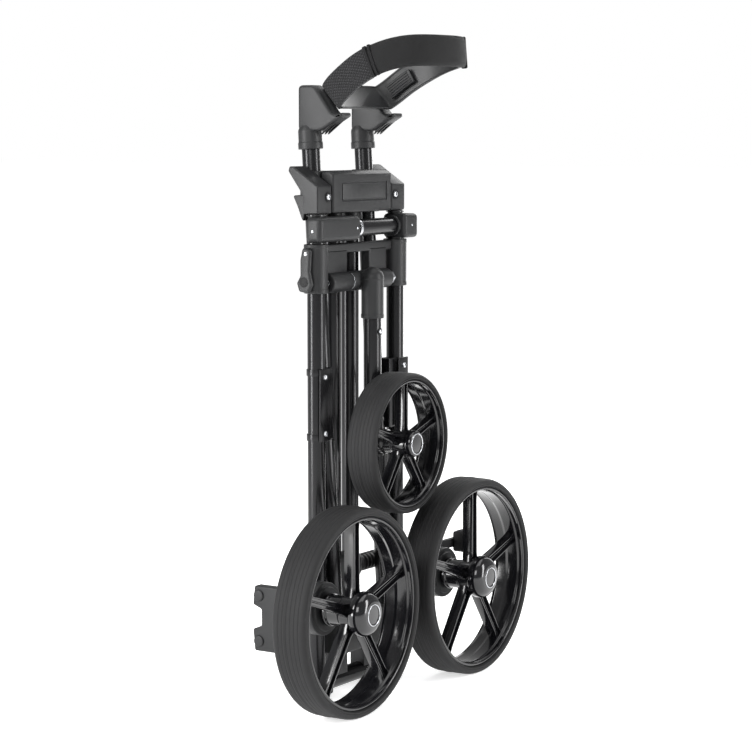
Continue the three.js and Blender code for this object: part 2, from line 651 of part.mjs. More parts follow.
// The origin is the middle of the footprint, on the floor.
cart.updateMatrixWorld(true);
const extent = new THREE.Box3().setFromObject(cart, true);
const middle = extent.getCenter(new THREE.Vector3());
cart.position.set(-middle.x, -middle.y, -extent.min.z);

export default cart;
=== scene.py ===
"""Looks of a folded three-wheel golf push cart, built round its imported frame. Metres, +Z up."""

import math

import bmesh
import bpy
import numpy as np
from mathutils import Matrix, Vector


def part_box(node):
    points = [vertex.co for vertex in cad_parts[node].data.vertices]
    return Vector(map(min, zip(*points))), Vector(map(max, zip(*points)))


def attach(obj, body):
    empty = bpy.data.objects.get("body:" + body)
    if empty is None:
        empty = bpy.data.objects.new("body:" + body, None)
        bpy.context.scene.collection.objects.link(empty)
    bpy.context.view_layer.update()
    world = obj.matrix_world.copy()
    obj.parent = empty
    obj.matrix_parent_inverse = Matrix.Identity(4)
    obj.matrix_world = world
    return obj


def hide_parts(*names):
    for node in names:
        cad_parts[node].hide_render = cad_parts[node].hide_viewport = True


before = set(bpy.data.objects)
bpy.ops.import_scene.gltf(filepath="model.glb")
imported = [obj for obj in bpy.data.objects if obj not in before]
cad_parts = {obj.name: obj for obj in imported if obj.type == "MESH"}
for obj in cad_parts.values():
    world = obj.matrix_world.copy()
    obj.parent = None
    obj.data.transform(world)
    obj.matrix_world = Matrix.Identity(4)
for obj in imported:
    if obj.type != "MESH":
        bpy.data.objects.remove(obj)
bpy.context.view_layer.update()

bl_info = {
    "name": "Folded golf push cart",
    "version": (1, 0, 0),
    "blender": (4, 5, 0),
    "location": "3D View > Sidebar > Push cart",
    "description": "Builds the tyres, rims, tubes, fittings and bag ring of a folded push cart",
    "category": "Object",
}

MM = 0.001
SIDES = ((-1, "left"), (1, "right"))
X, Y, Z = np.eye(3)


# ---- settings ---------------------------------------------------------------------------


def length(name, description, default, low=0.0):
    """A length in metres that a user may change."""
    return bpy.props.FloatProperty(
        name=name, description=description, default=default, min=low, precision=4, subtype="DISTANCE"
    )


def count(name, description, default, low=1):
    """A whole number that a user may change."""
    return bpy.props.IntProperty(name=name, description=description, default=default, min=low)


def colour(name, description, default):
    """A base colour that a user may change."""
    return bpy.props.FloatVectorProperty(
        name=name, description=description, default=default, size=3, min=0.0, max=1.0, subtype="COLOR"
    )


class CartColours(bpy.types.PropertyGroup):
    """Base colours of the cart's finishes."""

    tube: colour("Tube", "Black anodised tubes", (0.009, 0.009, 0.010))
    fitting: colour("Fitting", "Moulded grey fittings", (0.0105, 0.0108, 0.0115))
    gloss: colour("Wheel", "Gloss black rims and caps", (0.004, 0.004, 0.005))
    rubber: colour("Tyre", "Foam rubber tyres", (0.0085, 0.0085, 0.009))
    grip: colour("Grip", "Soft rubber grips, feet and pedals", (0.005, 0.005, 0.0055))
    steel: colour("Steel", "Plated screws, pins and washers", (0.50, 0.51, 0.53))
    webbing: colour("Webbing", "Elastic strap", (0.005, 0.005, 0.0055))
    sleeve: colour("Sleeve", "Padded sleeve cloth", (0.003, 0.003, 0.0032))
    dust: colour("Dust", "Dust on upward faces", (0.06, 0.058, 0.055))


class CartWheelSizes(bpy.types.PropertyGroup):
    """Sizes of what the wheels carry beyond their plain shapes."""

    groove_depth: length("Groove depth", "Depth of a fine ring in the tread", 0.45 * MM)
    groove_width: length("Groove width", "Half width of a fine ring in the tread", 0.55 * MM, 1e-5)
    groove_count: count("Grooves", "Fine rings across the tread", 6)
    shoulder: length("Shoulder", "Roundness of the tread's edges", 8 * MM, 1e-4)
    spoke_wall: length("Spoke wall", "Thickness of a spoke's two flanges", 2 * MM, 1e-4)
    cap_ring: length("Cap ring", "Thickness of the bright ring on a hub cap", 1.5 * MM, 1e-4)
    drum_teeth: count("Drum teeth", "Teeth round each brake drum", 10, 3)
    dome: length("Hub dome", "Radius of a main wheel's hub dome", 31 * MM, 0.005)
    badge: length("Cap face", "Radius of the flat face on a hub dome", 14.5 * MM, 0.002)


class CartFittingSizes(bpy.types.PropertyGroup):
    """Sizes of edges, screws and washers."""

    edge: length("Edge", "Roundness of a fitting's edges", 1.3 * MM)
    screw_head: length("Screw head", "Radius of a round screw head", 4.1 * MM, 1e-4)
    washer: length("Washer", "Thickness of a washer", 1.4 * MM, 1e-5)
    grip_rings: count("Grip rings", "Raised rings along each grip", 9)


class CartRingSizes(bpy.types.PropertyGroup):
    """Plan and section of the ring that holds the bag."""

    half_width: length("Half width", "Half the ring's width", 80 * MM, 0.01)
    depth: length("Depth", "Back to front", 148 * MM, 0.01)
    rise: length("Rise", "How much higher the front stands", 64 * MM)
    back_height: length("Back height", "Height of the band's middle at the back", 845 * MM)
    band_width: length("Band width", "Width of the stiff band", 42 * MM, 0.001)
    swell: length("Swell", "Furthest that the padding may puff out", 3.5 * MM)


class CartStageSettings(bpy.types.PropertyGroup):
    """Camera and lights."""

    azimuth: bpy.props.FloatProperty(
        name="Azimuth",
        description="Camera's turn about the cart",
        default=math.radians(-57.1),
        subtype="ANGLE",
    )
    elevation: bpy.props.FloatProperty(
        name="Elevation", description="Camera's height angle", default=math.radians(6.1), subtype="ANGLE"
    )
    place: bpy.props.FloatVectorProperty(
        name="Place",
        description="Where the camera stands",
        default=(-2.7580, -1.8004, 0.8032),
        subtype="TRANSLATION",
    )
    lens: bpy.props.FloatProperty(
        name="Lens", description="Focal length in millimetres", default=111.0, min=1.0
    )


# ---- surfaces ---------------------------------------------------------------------------
# A form is (points, faces, uv): an array of points, a list of corner lists, and an array of map places.


def grid(points, uv):
    """A form of quads over rows and columns of points. A closed surface repeats its first row or column."""
    rows, columns = points.shape[:2]
    index = np.arange(rows * columns).reshape(rows, columns)
    faces = np.stack([index[:-1, :-1], index[1:, :-1], index[1:, 1:], index[:-1, 1:]], -1)
    return points.reshape(-1, 3), faces.reshape(-1, 4).tolist(), uv.reshape(-1, 2)


def joined(*forms):
    """Several forms as one."""
    points, faces, uv, start = [], [], [], 0
    for p, f, m in forms:
        points.append(p)
        uv.append(m)
        faces.extend([[i + start for i in face] for face in f])
        start += len(p)
    return np.vstack(points), faces, np.vstack(uv)


def rounded(outline, reach, steps=5):
    """Each corner c of a closed outline becomes (1-t)^2 a + 2t(1-t) c + t^2 b. Ends a and b lie reach from c
    along its two edges, or 0.45 of an edge that is shorter."""
    here = np.asarray(outline, float)
    back, on = np.roll(here, 1, 0) - here, np.roll(here, -1, 0) - here
    lengths = np.stack([np.linalg.norm(back, axis=1), np.linalg.norm(on, axis=1)])
    setback = np.minimum(np.broadcast_to(reach, len(here)), 0.45 * lengths.min(0))[:, None]
    a, b = here + back / lengths[0][:, None] * setback, here + on / lengths[1][:, None] * setback
    t = np.linspace(0, 1, steps)[None, :, None]
    curve = (1 - t) ** 2 * a[:, None] + 2 * t * (1 - t) * here[:, None] + t**2 * b[:, None]
    return curve.reshape(-1, 2)


def across(axis):
    """Two unit directions square to an axis, so that with it they make a right-handed set."""
    w = np.asarray(axis, float) / np.linalg.norm(axis)
    u = X if abs(w[0]) < 0.9 else Y
    u = u - w * (u @ w)
    u = u / np.linalg.norm(u)
    return u, np.cross(w, u), w


def distance_along(line):
    """Distance along a line of points to each of its points."""
    steps = np.linalg.norm(np.diff(line, axis=0), axis=1)
    return np.concatenate([[0], np.cumsum(steps)])


def turned(outline, origin, axis, corner=0.0, steps=72):
    """A closed outline of (r, h) turned about an axis: origin + r (cos a U + sin a V) + h W."""
    outline = np.asarray(outline, float)
    profile = rounded(outline, np.where(outline[:, 0] > 1e-9, corner, 0))
    profile = np.vstack([profile, profile[:1]])
    a = np.linspace(0, 2 * math.pi, steps + 1)
    u, v, w = across(axis)
    spoke = np.cos(a)[:, None] * u + np.sin(a)[:, None] * v
    points = np.asarray(origin) + profile[:, :1, None] * spoke[None] + profile[:, 1, None, None] * w
    around = np.broadcast_to(a * profile[:, 0].max(), points.shape[:2])
    along = np.broadcast_to(distance_along(profile)[:, None], points.shape[:2])
    return grid(points, np.stack([around, along], -1))


def oblong(low_x, low_y, high_x, high_y):
    """The four corners of a rectangle."""
    return [(low_x, low_y), (high_x, low_y), (high_x, high_y), (low_x, high_y)]


def barrel(origin, axis, outer, bore, reach, corner, steps=72):
    """A plain ring of rectangular section turned about an axis, with eased edges."""
    return turned(oblong(bore, 0, outer, reach), origin, axis, corner, steps)


def tube(start, end, radius, wall=None, corner=0.4 * MM, steps=64):
    """A round tube, or a solid rod if it has no wall, from one point to another."""
    start, end = np.asarray(start, float), np.asarray(end, float)
    reach = np.linalg.norm(end - start)
    inner = 0.0 if wall is None else radius - wall
    return turned(oblong(inner, 0, radius, reach), start, end - start, corner, steps)


def swept(path, side, up, section):
    """A closed section carried along a path: path + s U + t V at each place, with both ends capped.
    The section is one outline, or one for each place."""
    sections = np.broadcast_to(section, (len(path), *np.shape(section)[-2:]))
    sections = np.concatenate([sections, sections[:, :1]], 1)
    points = path[:, None] + sections[..., :1] * side[:, None] + sections[..., 1:] * up[:, None]
    along = np.broadcast_to(distance_along(path)[:, None], points.shape[:2])
    around = np.broadcast_to(distance_along(sections[0]), points.shape[:2])
    p, faces, uv = grid(points, np.stack([along, around], -1))
    width = sections.shape[1]
    last = (len(path) - 1) * width
    return p, [*faces, list(range(width - 1)), list(range(last, last + width - 1))], uv


def plate(outline, axes, span, corner, edge):
    """An outline in the plane of U and V run along W over a span. Near each end it draws in by
    edge (1 - sin t) at depth edge (1 - cos t), which rounds the rim."""
    shape = rounded(outline, max(corner, 1.1 * edge))
    ahead = np.roll(shape, -1, 0) - np.roll(shape, 1, 0)
    outward = np.stack([ahead[:, 1], -ahead[:, 0]], 1)
    outward /= np.maximum(np.linalg.norm(outward, axis=1), 1e-9)[:, None]
    turn = np.sum(shape[:, 0] * np.roll(shape[:, 1], -1) - shape[:, 1] * np.roll(shape[:, 0], -1))
    outward *= np.sign(turn)
    t = np.linspace(0, math.pi / 2, 4)
    depth = np.concatenate([span[0] + edge * (1 - np.cos(t)), span[1] - edge * (1 - np.cos(t[::-1]))])
    drawn_in = np.concatenate([edge * (1 - np.sin(t)), edge * (1 - np.sin(t[::-1]))])
    sections = shape[None] - drawn_in[:, None, None] * outward[None]
    u, v, w = axes
    path = depth[:, None] * w
    return swept(path, np.tile(u, (len(path), 1)), np.tile(v, (len(path), 1)), sections)


def rounded_box(low, high, radius, steps=5):
    """A box whose every point is the core corner that its normal n faces, plus radius times n."""
    low, high = np.asarray(low, float), np.asarray(high, float)
    radius = min(radius, 0.499 * (high - low).min())
    core = (high - low) / 2 - radius
    quarter = np.linspace(0, math.pi / 2, steps)
    latitude = np.concatenate([quarter - math.pi / 2, quarter])
    longitude = (np.arange(4)[:, None] * math.pi / 2 + quarter).ravel()
    sx, sy = np.repeat([1, -1, -1, 1], steps), np.repeat([1, 1, -1, -1], steps)
    sz = np.repeat([-1, 1], steps)
    wrap = np.append(np.arange(len(longitude)), 0)
    longitude, sx, sy = longitude[wrap], sx[wrap], sy[wrap]
    shape = (len(latitude), len(longitude))
    normal = np.stack(
        [
            np.cos(latitude)[:, None] * np.cos(longitude),
            np.cos(latitude)[:, None] * np.sin(longitude),
            np.broadcast_to(np.sin(latitude)[:, None], shape),
        ],
        -1,
    )
    corner = np.stack([np.broadcast_to(side, shape) for side in (sx, sy, sz[:, None])], -1)
    points = (low + high) / 2 + corner * core + radius * normal
    p, faces, uv = grid(points, points[..., :2] + points[..., 2:])
    ends = [[row * shape[1] + k * steps for k in range(4)] for row in (0, shape[0] - 1)]
    return p, [*faces, *ends], uv


def rounded_ring(radius, thickness, origin, axis, steps=72):
    """A ring of round wire: the wire's circle turned about an axis."""
    a = np.linspace(0, 2 * math.pi, 12, endpoint=False)
    circle = np.stack([radius + thickness / 2 * np.cos(a), thickness / 2 * np.sin(a)], 1)
    return turned(circle, origin, axis, 0, steps)


# ---- pieces -----------------------------------------------------------------------------


def box(node):
    """Lowest and highest corners of a CAD node."""
    low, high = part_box(node)
    return np.array(low), np.array(high)


def middle(node):
    """Middle of a CAD node's box."""
    low, high = box(node)
    return (low + high) / 2


def clean(mesh, sharp=38.0):
    """Joins the seams and poles, turns the faces outwards and shades it smooth except over sharp edges."""
    work = bmesh.new()
    work.from_mesh(mesh)
    bmesh.ops.remove_doubles(work, verts=work.verts, dist=2e-6)
    bmesh.ops.dissolve_degenerate(work, edges=work.edges, dist=1e-7)
    bmesh.ops.delete(work, geom=[e for e in work.edges if not e.link_faces], context="EDGES")
    bmesh.ops.delete(work, geom=[v for v in work.verts if not v.link_edges], context="VERTS")
    bmesh.ops.recalc_face_normals(work, faces=work.faces)
    work.to_mesh(mesh)
    work.free()
    mesh.shade_smooth()
    mesh.set_sharp_from_angle(angle=math.radians(sharp))


def add_piece(name, form, body, finish, stands_for=()):
    """Makes a form into a piece that rides on a body and stands for CAD nodes."""
    points, faces, uv = form
    mesh = bpy.data.meshes.new(name)
    mesh.from_pydata(points.tolist(), [], faces)
    corners = np.empty(len(mesh.loops), np.int32)
    mesh.loops.foreach_get("vertex_index", corners)
    mesh.uv_layers.new(name="UVMap").data.foreach_set("uv", uv[corners].astype(np.float32).ravel())
    clean(mesh)
    piece = bpy.data.objects.new(name, mesh)
    bpy.context.scene.collection.objects.link(piece)
    return dress(piece, body, finish, stands_for)


def dress(piece, body, finish, stands_for=()):
    """Gives a piece its finish, body and CAD nodes."""
    material, slot = finish
    piece.data.materials.clear()
    piece.data.materials.append(bpy.data.materials[material])
    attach(piece, body)
    if stands_for:
        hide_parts(*stands_for)
    return piece


def softened(name, node, body, finish, edge, segments=3):
    """A CAD node's shape with its flat faces joined up and its edges rounded."""
    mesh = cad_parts[node].data.copy()
    mesh.name = name
    mesh.attributes.active = None
    work = bmesh.new()
    work.from_mesh(mesh)
    bmesh.ops.remove_doubles(work, verts=work.verts, dist=1e-5)
    bmesh.ops.dissolve_limit(work, angle_limit=math.radians(1.5), verts=work.verts, edges=work.edges)
    for face in work.faces:
        face.smooth = True
    work.to_mesh(mesh)
    work.free()
    piece = bpy.data.objects.new(name, mesh)
    bpy.context.scene.collection.objects.link(piece)
    bevel = piece.modifiers.new("Rounded edges", "BEVEL")
    bevel.width = edge
    bevel.segments = segments
    bevel.limit_method = "ANGLE"
    bevel.angle_limit = math.radians(35)
    bevel.use_clamp_overlap = True
    bevel.harden_normals = True
    return dress(piece, body, finish, (node,))


# ---- finishes ---------------------------------------------------------------------------

TUBE = ("Black anodised tube", "tube_black")
FITTING = ("Grey moulded fitting", "fitting_grey")
GLOSS = ("Gloss black wheel", "wheel_gloss")
TYRE = ("Foam rubber tyre", "tyre_rubber")
GRIP = ("Soft grip rubber", "grip_rubber")
STEEL = ("Plated steel", "steel")
WEBBING = ("Elastic webbing", "strap_fabric")
SLEEVE = ("Padded sleeve cloth", "strap_fabric")
BINDING = ("Sleeve binding", "strap_fabric")
LINER = ("Smooth ring liner", "fitting_grey")


def new_group(name, inputs, outputs):
    """An empty shader node group with named sockets, and its input and output nodes."""
    group = bpy.data.node_groups.new(name, "ShaderNodeTree")
    for label, kind in inputs:
        group.interface.new_socket(label, in_out="INPUT", socket_type="NodeSocket" + kind)
    for label, kind in outputs:
        group.interface.new_socket(label, in_out="OUTPUT", socket_type="NodeSocket" + kind)
    return group, group.nodes.new("NodeGroupInput"), group.nodes.new("NodeGroupOutput")


def feed(tree, socket, value):
    """Links a socket to another, or gives it a value."""
    if isinstance(value, bpy.types.NodeSocket):
        tree.links.new(value, socket)
    else:
        socket.default_value = value


def calc(tree, operation, first, second=0.0, clamp=False):
    """One sum on two values."""
    node = tree.nodes.new("ShaderNodeMath")
    node.operation, node.use_clamp = operation, clamp
    feed(tree, node.inputs[0], first)
    feed(tree, node.inputs[1], second)
    return node.outputs[0]


def spread(tree, value, low, high, to_low=0.0, to_high=1.0):
    """A value's range spread over another, and kept inside it."""
    node = tree.nodes.new("ShaderNodeMapRange")
    for socket, number in zip(node.inputs, (value, low, high, to_low, to_high)):
        feed(tree, socket, number)
    return node.outputs[0]


def scaled(tree, colour_value, factor):
    """A colour made darker or lighter by a factor."""
    node = tree.nodes.new("ShaderNodeVectorMath")
    node.operation = "SCALE"
    feed(tree, node.inputs[0], colour_value)
    feed(tree, node.inputs["Scale"], factor)
    return node.outputs[0]


def blend_colours(tree, share, first, second):
    """Two colours mixed by a share."""
    node = tree.nodes.new("ShaderNodeMix")
    node.data_type = "RGBA"
    feed(tree, node.inputs[0], share)
    feed(tree, node.inputs[6], first)
    feed(tree, node.inputs[7], second)
    return node.outputs[2]


def noise(tree, vector, scale, detail=3.0, roughness=0.55):
    """Cloudy noise from 0 to 1."""
    node = tree.nodes.new("ShaderNodeTexNoise")
    feed(tree, node.inputs["Vector"], vector)
    feed(tree, node.inputs["Scale"], scale)
    node.inputs["Detail"].default_value = detail
    node.inputs["Roughness"].default_value = roughness
    return node.outputs[0]


def stretched(tree, vector, scale):
    """A vector stretched along its axes."""
    node = tree.nodes.new("ShaderNodeMapping")
    feed(tree, node.inputs["Vector"], vector)
    node.inputs["Scale"].default_value = scale
    return node.outputs[0]


def grain_group():
    """Moulded grain: fine noise for height, broad noise for slight changes of shade and roughness."""
    group, start, end = new_group(
        "Moulded grain",
        [
            ("Vector", "Vector"),
            ("Colour", "Color"),
            ("Grain scale", "Float"),
            ("Shade", "Float"),
            ("Base", "Float"),
        ],
        [("Colour", "Color"), ("Roughness", "Float"), ("Height", "Float")],
    )
    i, o = start.outputs, end.inputs
    broad = noise(group, i["Vector"], 14.0, 4.0)
    fine = noise(group, i["Vector"], i["Grain scale"], 2.0)
    swing = calc(group, "MULTIPLY", calc(group, "SUBTRACT", broad, 0.5), i["Shade"])
    speck = calc(group, "MULTIPLY", calc(group, "SUBTRACT", fine, 0.5), 0.25)
    level = calc(group, "ADD", calc(group, "ADD", swing, speck), 1.0)
    group.links.new(scaled(group, i["Colour"], level), o["Colour"])
    group.links.new(calc(group, "ADD", i["Base"], calc(group, "MULTIPLY", swing, 0.25)), o["Roughness"])
    group.links.new(fine, o["Height"])
    return group


def wear_group():
    """Edge wear: sharp outer edges, broken up by noise, take a paler colour."""
    group, start, end = new_group(
        "Edge wear",
        [("Vector", "Vector"), ("Colour", "Color"), ("Worn colour", "Color"), ("Amount", "Float")],
        [("Colour", "Color"), ("Mask", "Float")],
    )
    i, o = start.outputs, end.inputs
    edge = spread(group, group.nodes.new("ShaderNodeNewGeometry").outputs["Pointiness"], 0.54, 0.64)
    patchy = spread(group, noise(group, i["Vector"], 160.0, 4.0), 0.38, 0.62)
    mask = calc(group, "MULTIPLY", calc(group, "MULTIPLY", edge, patchy), i["Amount"], True)
    group.links.new(blend_colours(group, mask, i["Colour"], i["Worn colour"]), o["Colour"])
    group.links.new(mask, o["Mask"])
    return group


def dust_group():
    """Dust: upward faces take a little of the dust's colour in soft patches."""
    group, start, end = new_group(
        "Dust",
        [("Vector", "Vector"), ("Colour", "Color"), ("Dust colour", "Color"), ("Amount", "Float")],
        [("Colour", "Color"), ("Mask", "Float")],
    )
    i, o = start.outputs, end.inputs
    split = group.nodes.new("ShaderNodeSeparateXYZ")
    group.links.new(group.nodes.new("ShaderNodeNewGeometry").outputs["Normal"], split.inputs[0])
    up = spread(group, split.outputs[2], -0.2, 1.0, 0.25, 1.0)
    patch = spread(group, noise(group, i["Vector"], 38.0, 5.0), 0.35, 0.75)
    mask = calc(group, "MULTIPLY", calc(group, "MULTIPLY", up, patch), i["Amount"], True)
    group.links.new(blend_colours(group, mask, i["Colour"], i["Dust colour"]), o["Colour"])
    group.links.new(mask, o["Mask"])
    return group


def streak_group():
    """Drawn streaks: noise stretched along a tube changes its shade and roughness, with fine scuffs."""
    group, start, end = new_group(
        "Drawn streaks",
        [("Vector", "Vector"), ("Colour", "Color"), ("Strength", "Float"), ("Base", "Float")],
        [("Colour", "Color"), ("Roughness", "Float"), ("Height", "Float")],
    )
    i, o = start.outputs, end.inputs
    lines = noise(group, stretched(group, i["Vector"], (1800.0, 9.0, 1.0)), 1.0, 3.0)
    swing = calc(group, "MULTIPLY", calc(group, "SUBTRACT", lines, 0.5), i["Strength"])
    tone = scaled(group, i["Colour"], calc(group, "ADD", swing, 1.0))
    scuff = spread(group, noise(group, i["Vector"], 55.0, 6.0, 0.7), 0.58, 0.75)
    rough = calc(group, "ADD", calc(group, "MULTIPLY", swing, 0.18), calc(group, "MULTIPLY", scuff, 0.03))
    group.links.new(tone, o["Colour"])
    group.links.new(calc(group, "ADD", i["Base"], rough), o["Roughness"])
    group.links.new(lines, o["Height"])
    return group


def weave_group():
    """Woven cloth: at each crossing of warp and weft one thread lies on top, and each thread is a rounded
    ridge |sin|^0.6 of the place across it. Its colour holds painted shade in the hollows between threads
    and a painted highlight on each thread's crown."""
    group, start, end = new_group(
        "Weave",
        [
            ("Vector", "Vector"),
            ("Warp colour", "Color"),
            ("Weft colour", "Color"),
            ("Threads along", "Float"),
            ("Threads across", "Float"),
        ],
        [("Colour", "Color"), ("Height", "Float")],
    )
    i, o = start.outputs, end.inputs
    split = group.nodes.new("ShaderNodeSeparateXYZ")
    group.links.new(i["Vector"], split.inputs[0])
    along = calc(group, "MULTIPLY", calc(group, "MULTIPLY", split.outputs[0], i["Threads along"]), math.pi)
    over = calc(group, "MULTIPLY", calc(group, "MULTIPLY", split.outputs[1], i["Threads across"]), math.pi)
    wave_a, wave_b = calc(group, "SINE", along), calc(group, "SINE", over)
    top = spread(group, calc(group, "MULTIPLY", wave_a, wave_b), -0.08, 0.08)
    ridge_a = calc(group, "POWER", calc(group, "ABSOLUTE", wave_a), 0.6)
    ridge_b = calc(group, "POWER", calc(group, "ABSOLUTE", wave_b), 0.6)
    height = calc(
        group,
        "ADD",
        calc(group, "MULTIPLY", ridge_a, top),
        calc(group, "MULTIPLY", ridge_b, calc(group, "SUBTRACT", 1.0, top)),
    )
    thread = blend_colours(group, top, i["Warp colour"], i["Weft colour"])
    # painted shade and painted highlight: the thread colour is scaled by height, from 0.35 in the hollows to
    # 1.15 on the crowns
    shade = scaled(group, thread, spread(group, height, 0.0, 1.0, 0.35, 1.15))
    group.links.new(shade, o["Colour"])
    group.links.new(height, o["Height"])
    return group


def placed(tree, group, **values):
    """A node group placed in a material with its own values. Names use _ for a space."""
    node = tree.nodes.new("ShaderNodeGroup")
    node.node_tree = group
    for label, value in values.items():
        feed(tree, node.inputs[label.replace("_", " ")], value)
    return node.outputs


def new_material(name):
    """An empty material, its shader, and its Object and UV coordinates."""
    material = bpy.data.materials.new(name)
    material.use_nodes = True
    tree = material.node_tree
    shader = tree.nodes["Principled BSDF"]
    places = tree.nodes.new("ShaderNodeTexCoord")
    return tree, shader, places.outputs["Object"], places.outputs["UV"]


def set_bump(tree, shader, height, distance, strength=1.0):
    """Height in metres that tilts the shader's normal."""
    bump = tree.nodes.new("ShaderNodeBump")
    bump.inputs["Strength"].default_value = strength
    bump.inputs["Distance"].default_value = distance
    tree.links.new(height, bump.inputs["Height"])
    tree.links.new(bump.outputs[0], shader.inputs["Normal"])


def make_finishes(colours):
    """Builds the node groups once, and each material with its own values."""
    grain, wear, dust = grain_group(), wear_group(), dust_group()
    streaks, weave = streak_group(), weave_group()
    rgba = {name: (*getattr(colours, name), 1.0) for name in CartColours.__annotations__}

    def moulded(finish, base, roughness, grain_scale, bump, shade, worn, dusty, coat=0.0, specular=0.5):
        tree, shader, place, _ = new_material(finish[0])
        body = placed(
            tree, grain, Vector=place, Colour=base, Grain_scale=grain_scale, Shade=shade, Base=roughness
        )
        pale = tuple(min(1.0, c * 3.0 + 0.02) for c in base[:3]) + (1.0,)
        edged = placed(tree, wear, Vector=place, Colour=body["Colour"], Worn_colour=pale, Amount=worn)
        dull = placed(
            tree, dust, Vector=place, Colour=edged["Colour"], Dust_colour=rgba["dust"], Amount=dusty
        )
        tree.links.new(dull["Colour"], shader.inputs["Base Color"])
        rough = calc(tree, "ADD", body["Roughness"], calc(tree, "MULTIPLY", dull["Mask"], 0.5), True)
        tree.links.new(rough, shader.inputs["Roughness"])
        shader.inputs["Coat Weight"].default_value = coat
        shader.inputs["Coat Roughness"].default_value = 0.08
        shader.inputs["Specular IOR Level"].default_value = specular
        set_bump(tree, shader, body["Height"], bump)

    moulded(FITTING, rgba["fitting"], 0.46, 1500.0, 0.00006, 0.20, 0.30, 0.03, 0.0, 0.30)
    moulded(LINER, rgba["fitting"], 0.40, 700.0, 0.00003, 0.20, 0.40, 0.02, 0.0, 0.35)
    moulded(GLOSS, rgba["gloss"], 0.14, 90.0, 0.00003, 0.30, 0.10, 0.008, 0.3, 0.40)
    moulded(TYRE, rgba["rubber"], 0.66, 900.0, 0.00012, 0.30, 0.25, 0.08, 0.0, 0.25)
    moulded(GRIP, rgba["grip"], 0.60, 1200.0, 0.00010, 0.30, 0.20, 0.03, 0.0, 0.25)
    moulded(BINDING, rgba["grip"], 0.80, 1900.0, 0.00015, 0.40, 0.05, 0.02, 0.0, 0.2)

    for finish, base, roughness, metallic, strength in (
        (TUBE, rgba["tube"], 0.24, 0.5, 0.06),
        (STEEL, rgba["steel"], 0.24, 1.0, 0.2),
    ):
        tree, shader, place, around = new_material(finish[0])
        drawn = placed(tree, streaks, Vector=around, Colour=base, Strength=strength, Base=roughness)
        pale = (0.45, 0.45, 0.46, 1.0)
        edged = placed(tree, wear, Vector=place, Colour=drawn["Colour"], Worn_colour=pale, Amount=0.3)
        tree.links.new(edged["Colour"], shader.inputs["Base Color"])
        tree.links.new(drawn["Roughness"], shader.inputs["Roughness"])
        shader.inputs["Metallic"].default_value = metallic
        set_bump(tree, shader, drawn["Height"], 0.000003)

    for finish, base, along, over, bump, sheen in (
        (WEBBING, rgba["webbing"], 300.0, 420.0, 0.0006, 0.05),
        (SLEEVE, rgba["sleeve"], 1500.0, 1500.0, 0.00012, 0.02),
    ):
        tree, shader, place, around = new_material(finish[0])
        lighter = tuple(min(1.0, c * 2.2 + 0.006) for c in base[:3]) + (1.0,)
        # the weave's colour holds painted shade between the threads and a painted highlight on their crowns
        cloth = placed(
            tree,
            weave,
            Vector=around,
            Warp_colour=base,
            Weft_colour=lighter,
            Threads_along=along,
            Threads_across=over,
        )
        body = placed(
            tree, grain, Vector=place, Colour=cloth["Colour"], Grain_scale=400.0, Shade=0.5, Base=0.82
        )
        lint = placed(
            tree, dust, Vector=place, Colour=body["Colour"], Dust_colour=rgba["dust"], Amount=0.03
        )
        tree.links.new(lint["Colour"], shader.inputs["Base Color"])
        tree.links.new(body["Roughness"], shader.inputs["Roughness"])
        shader.inputs["Sheen Weight"].default_value = sheen
        shader.inputs["Sheen Roughness"].default_value = 0.5
        shader.inputs["Specular IOR Level"].default_value = 0.2
        set_bump(tree, shader, cloth["Height"], bump)


# ---- wheels -----------------------------------------------------------------------------

AXLE_BORE = 6.3 * MM
WHEELS = {
    "left": ("wheel_left", "left_wheel"),
    "right": ("wheel_right", "right_wheel"),
    "front": ("front_wheel", "front_wheel"),
}
SPOKES = 5


def tyre_form(node, bead, sizes):
    """A tread of radius R - c (2y/w - 1)^2 - shoulder drop - grooves, turned about the wheel's axle with its
    two walls."""
    low, high = box(node)
    radius, width = (high[0] - low[0]) / 2, high[1] - low[1]
    y = np.linspace(0, width, 241)
    inwards = np.minimum(y, width - y)
    d = np.clip(1 - inwards / sizes.shoulder, 0, 1)
    drop = 0.62 * sizes.shoulder * (1 - np.sqrt(1 - d**2))
    middles = np.linspace(0.2, 0.8, sizes.groove_count) * width
    grooves = np.exp(-(((y[:, None] - middles) / sizes.groove_width) ** 2)).sum(1) * sizes.groove_depth
    ridge = 0.5 * MM * np.exp(-(((y - 0.63 * width) / (1.6 * MM)) ** 2))
    tread = radius - 0.4 * MM * (2 * y / width - 1) ** 2 - drop - grooves + ridge
    wall = np.linspace(tread[0], bead + 1.2 * MM, 14)[1:]
    bulge = 1.1 * MM * np.sin(math.pi * (wall - wall[-1]) / (wall[0] - wall[-1] + 1e-9))
    bulge = bulge * 0.6 - 0.9 * MM * np.exp(-(((wall - bead - 3.5 * MM) / (0.8 * MM)) ** 2))
    outline = np.vstack(
        [
            np.stack([tread, y], 1),
            np.stack([wall, width + bulge], 1),
            [(bead, width - 2 * MM), (bead, 2 * MM)],
            np.stack([wall, -bulge], 1)[::-1],
        ]
    )
    centre = (low + high) / 2
    return turned(outline, (centre[0], low[1], centre[2]), Y, 0, 160)


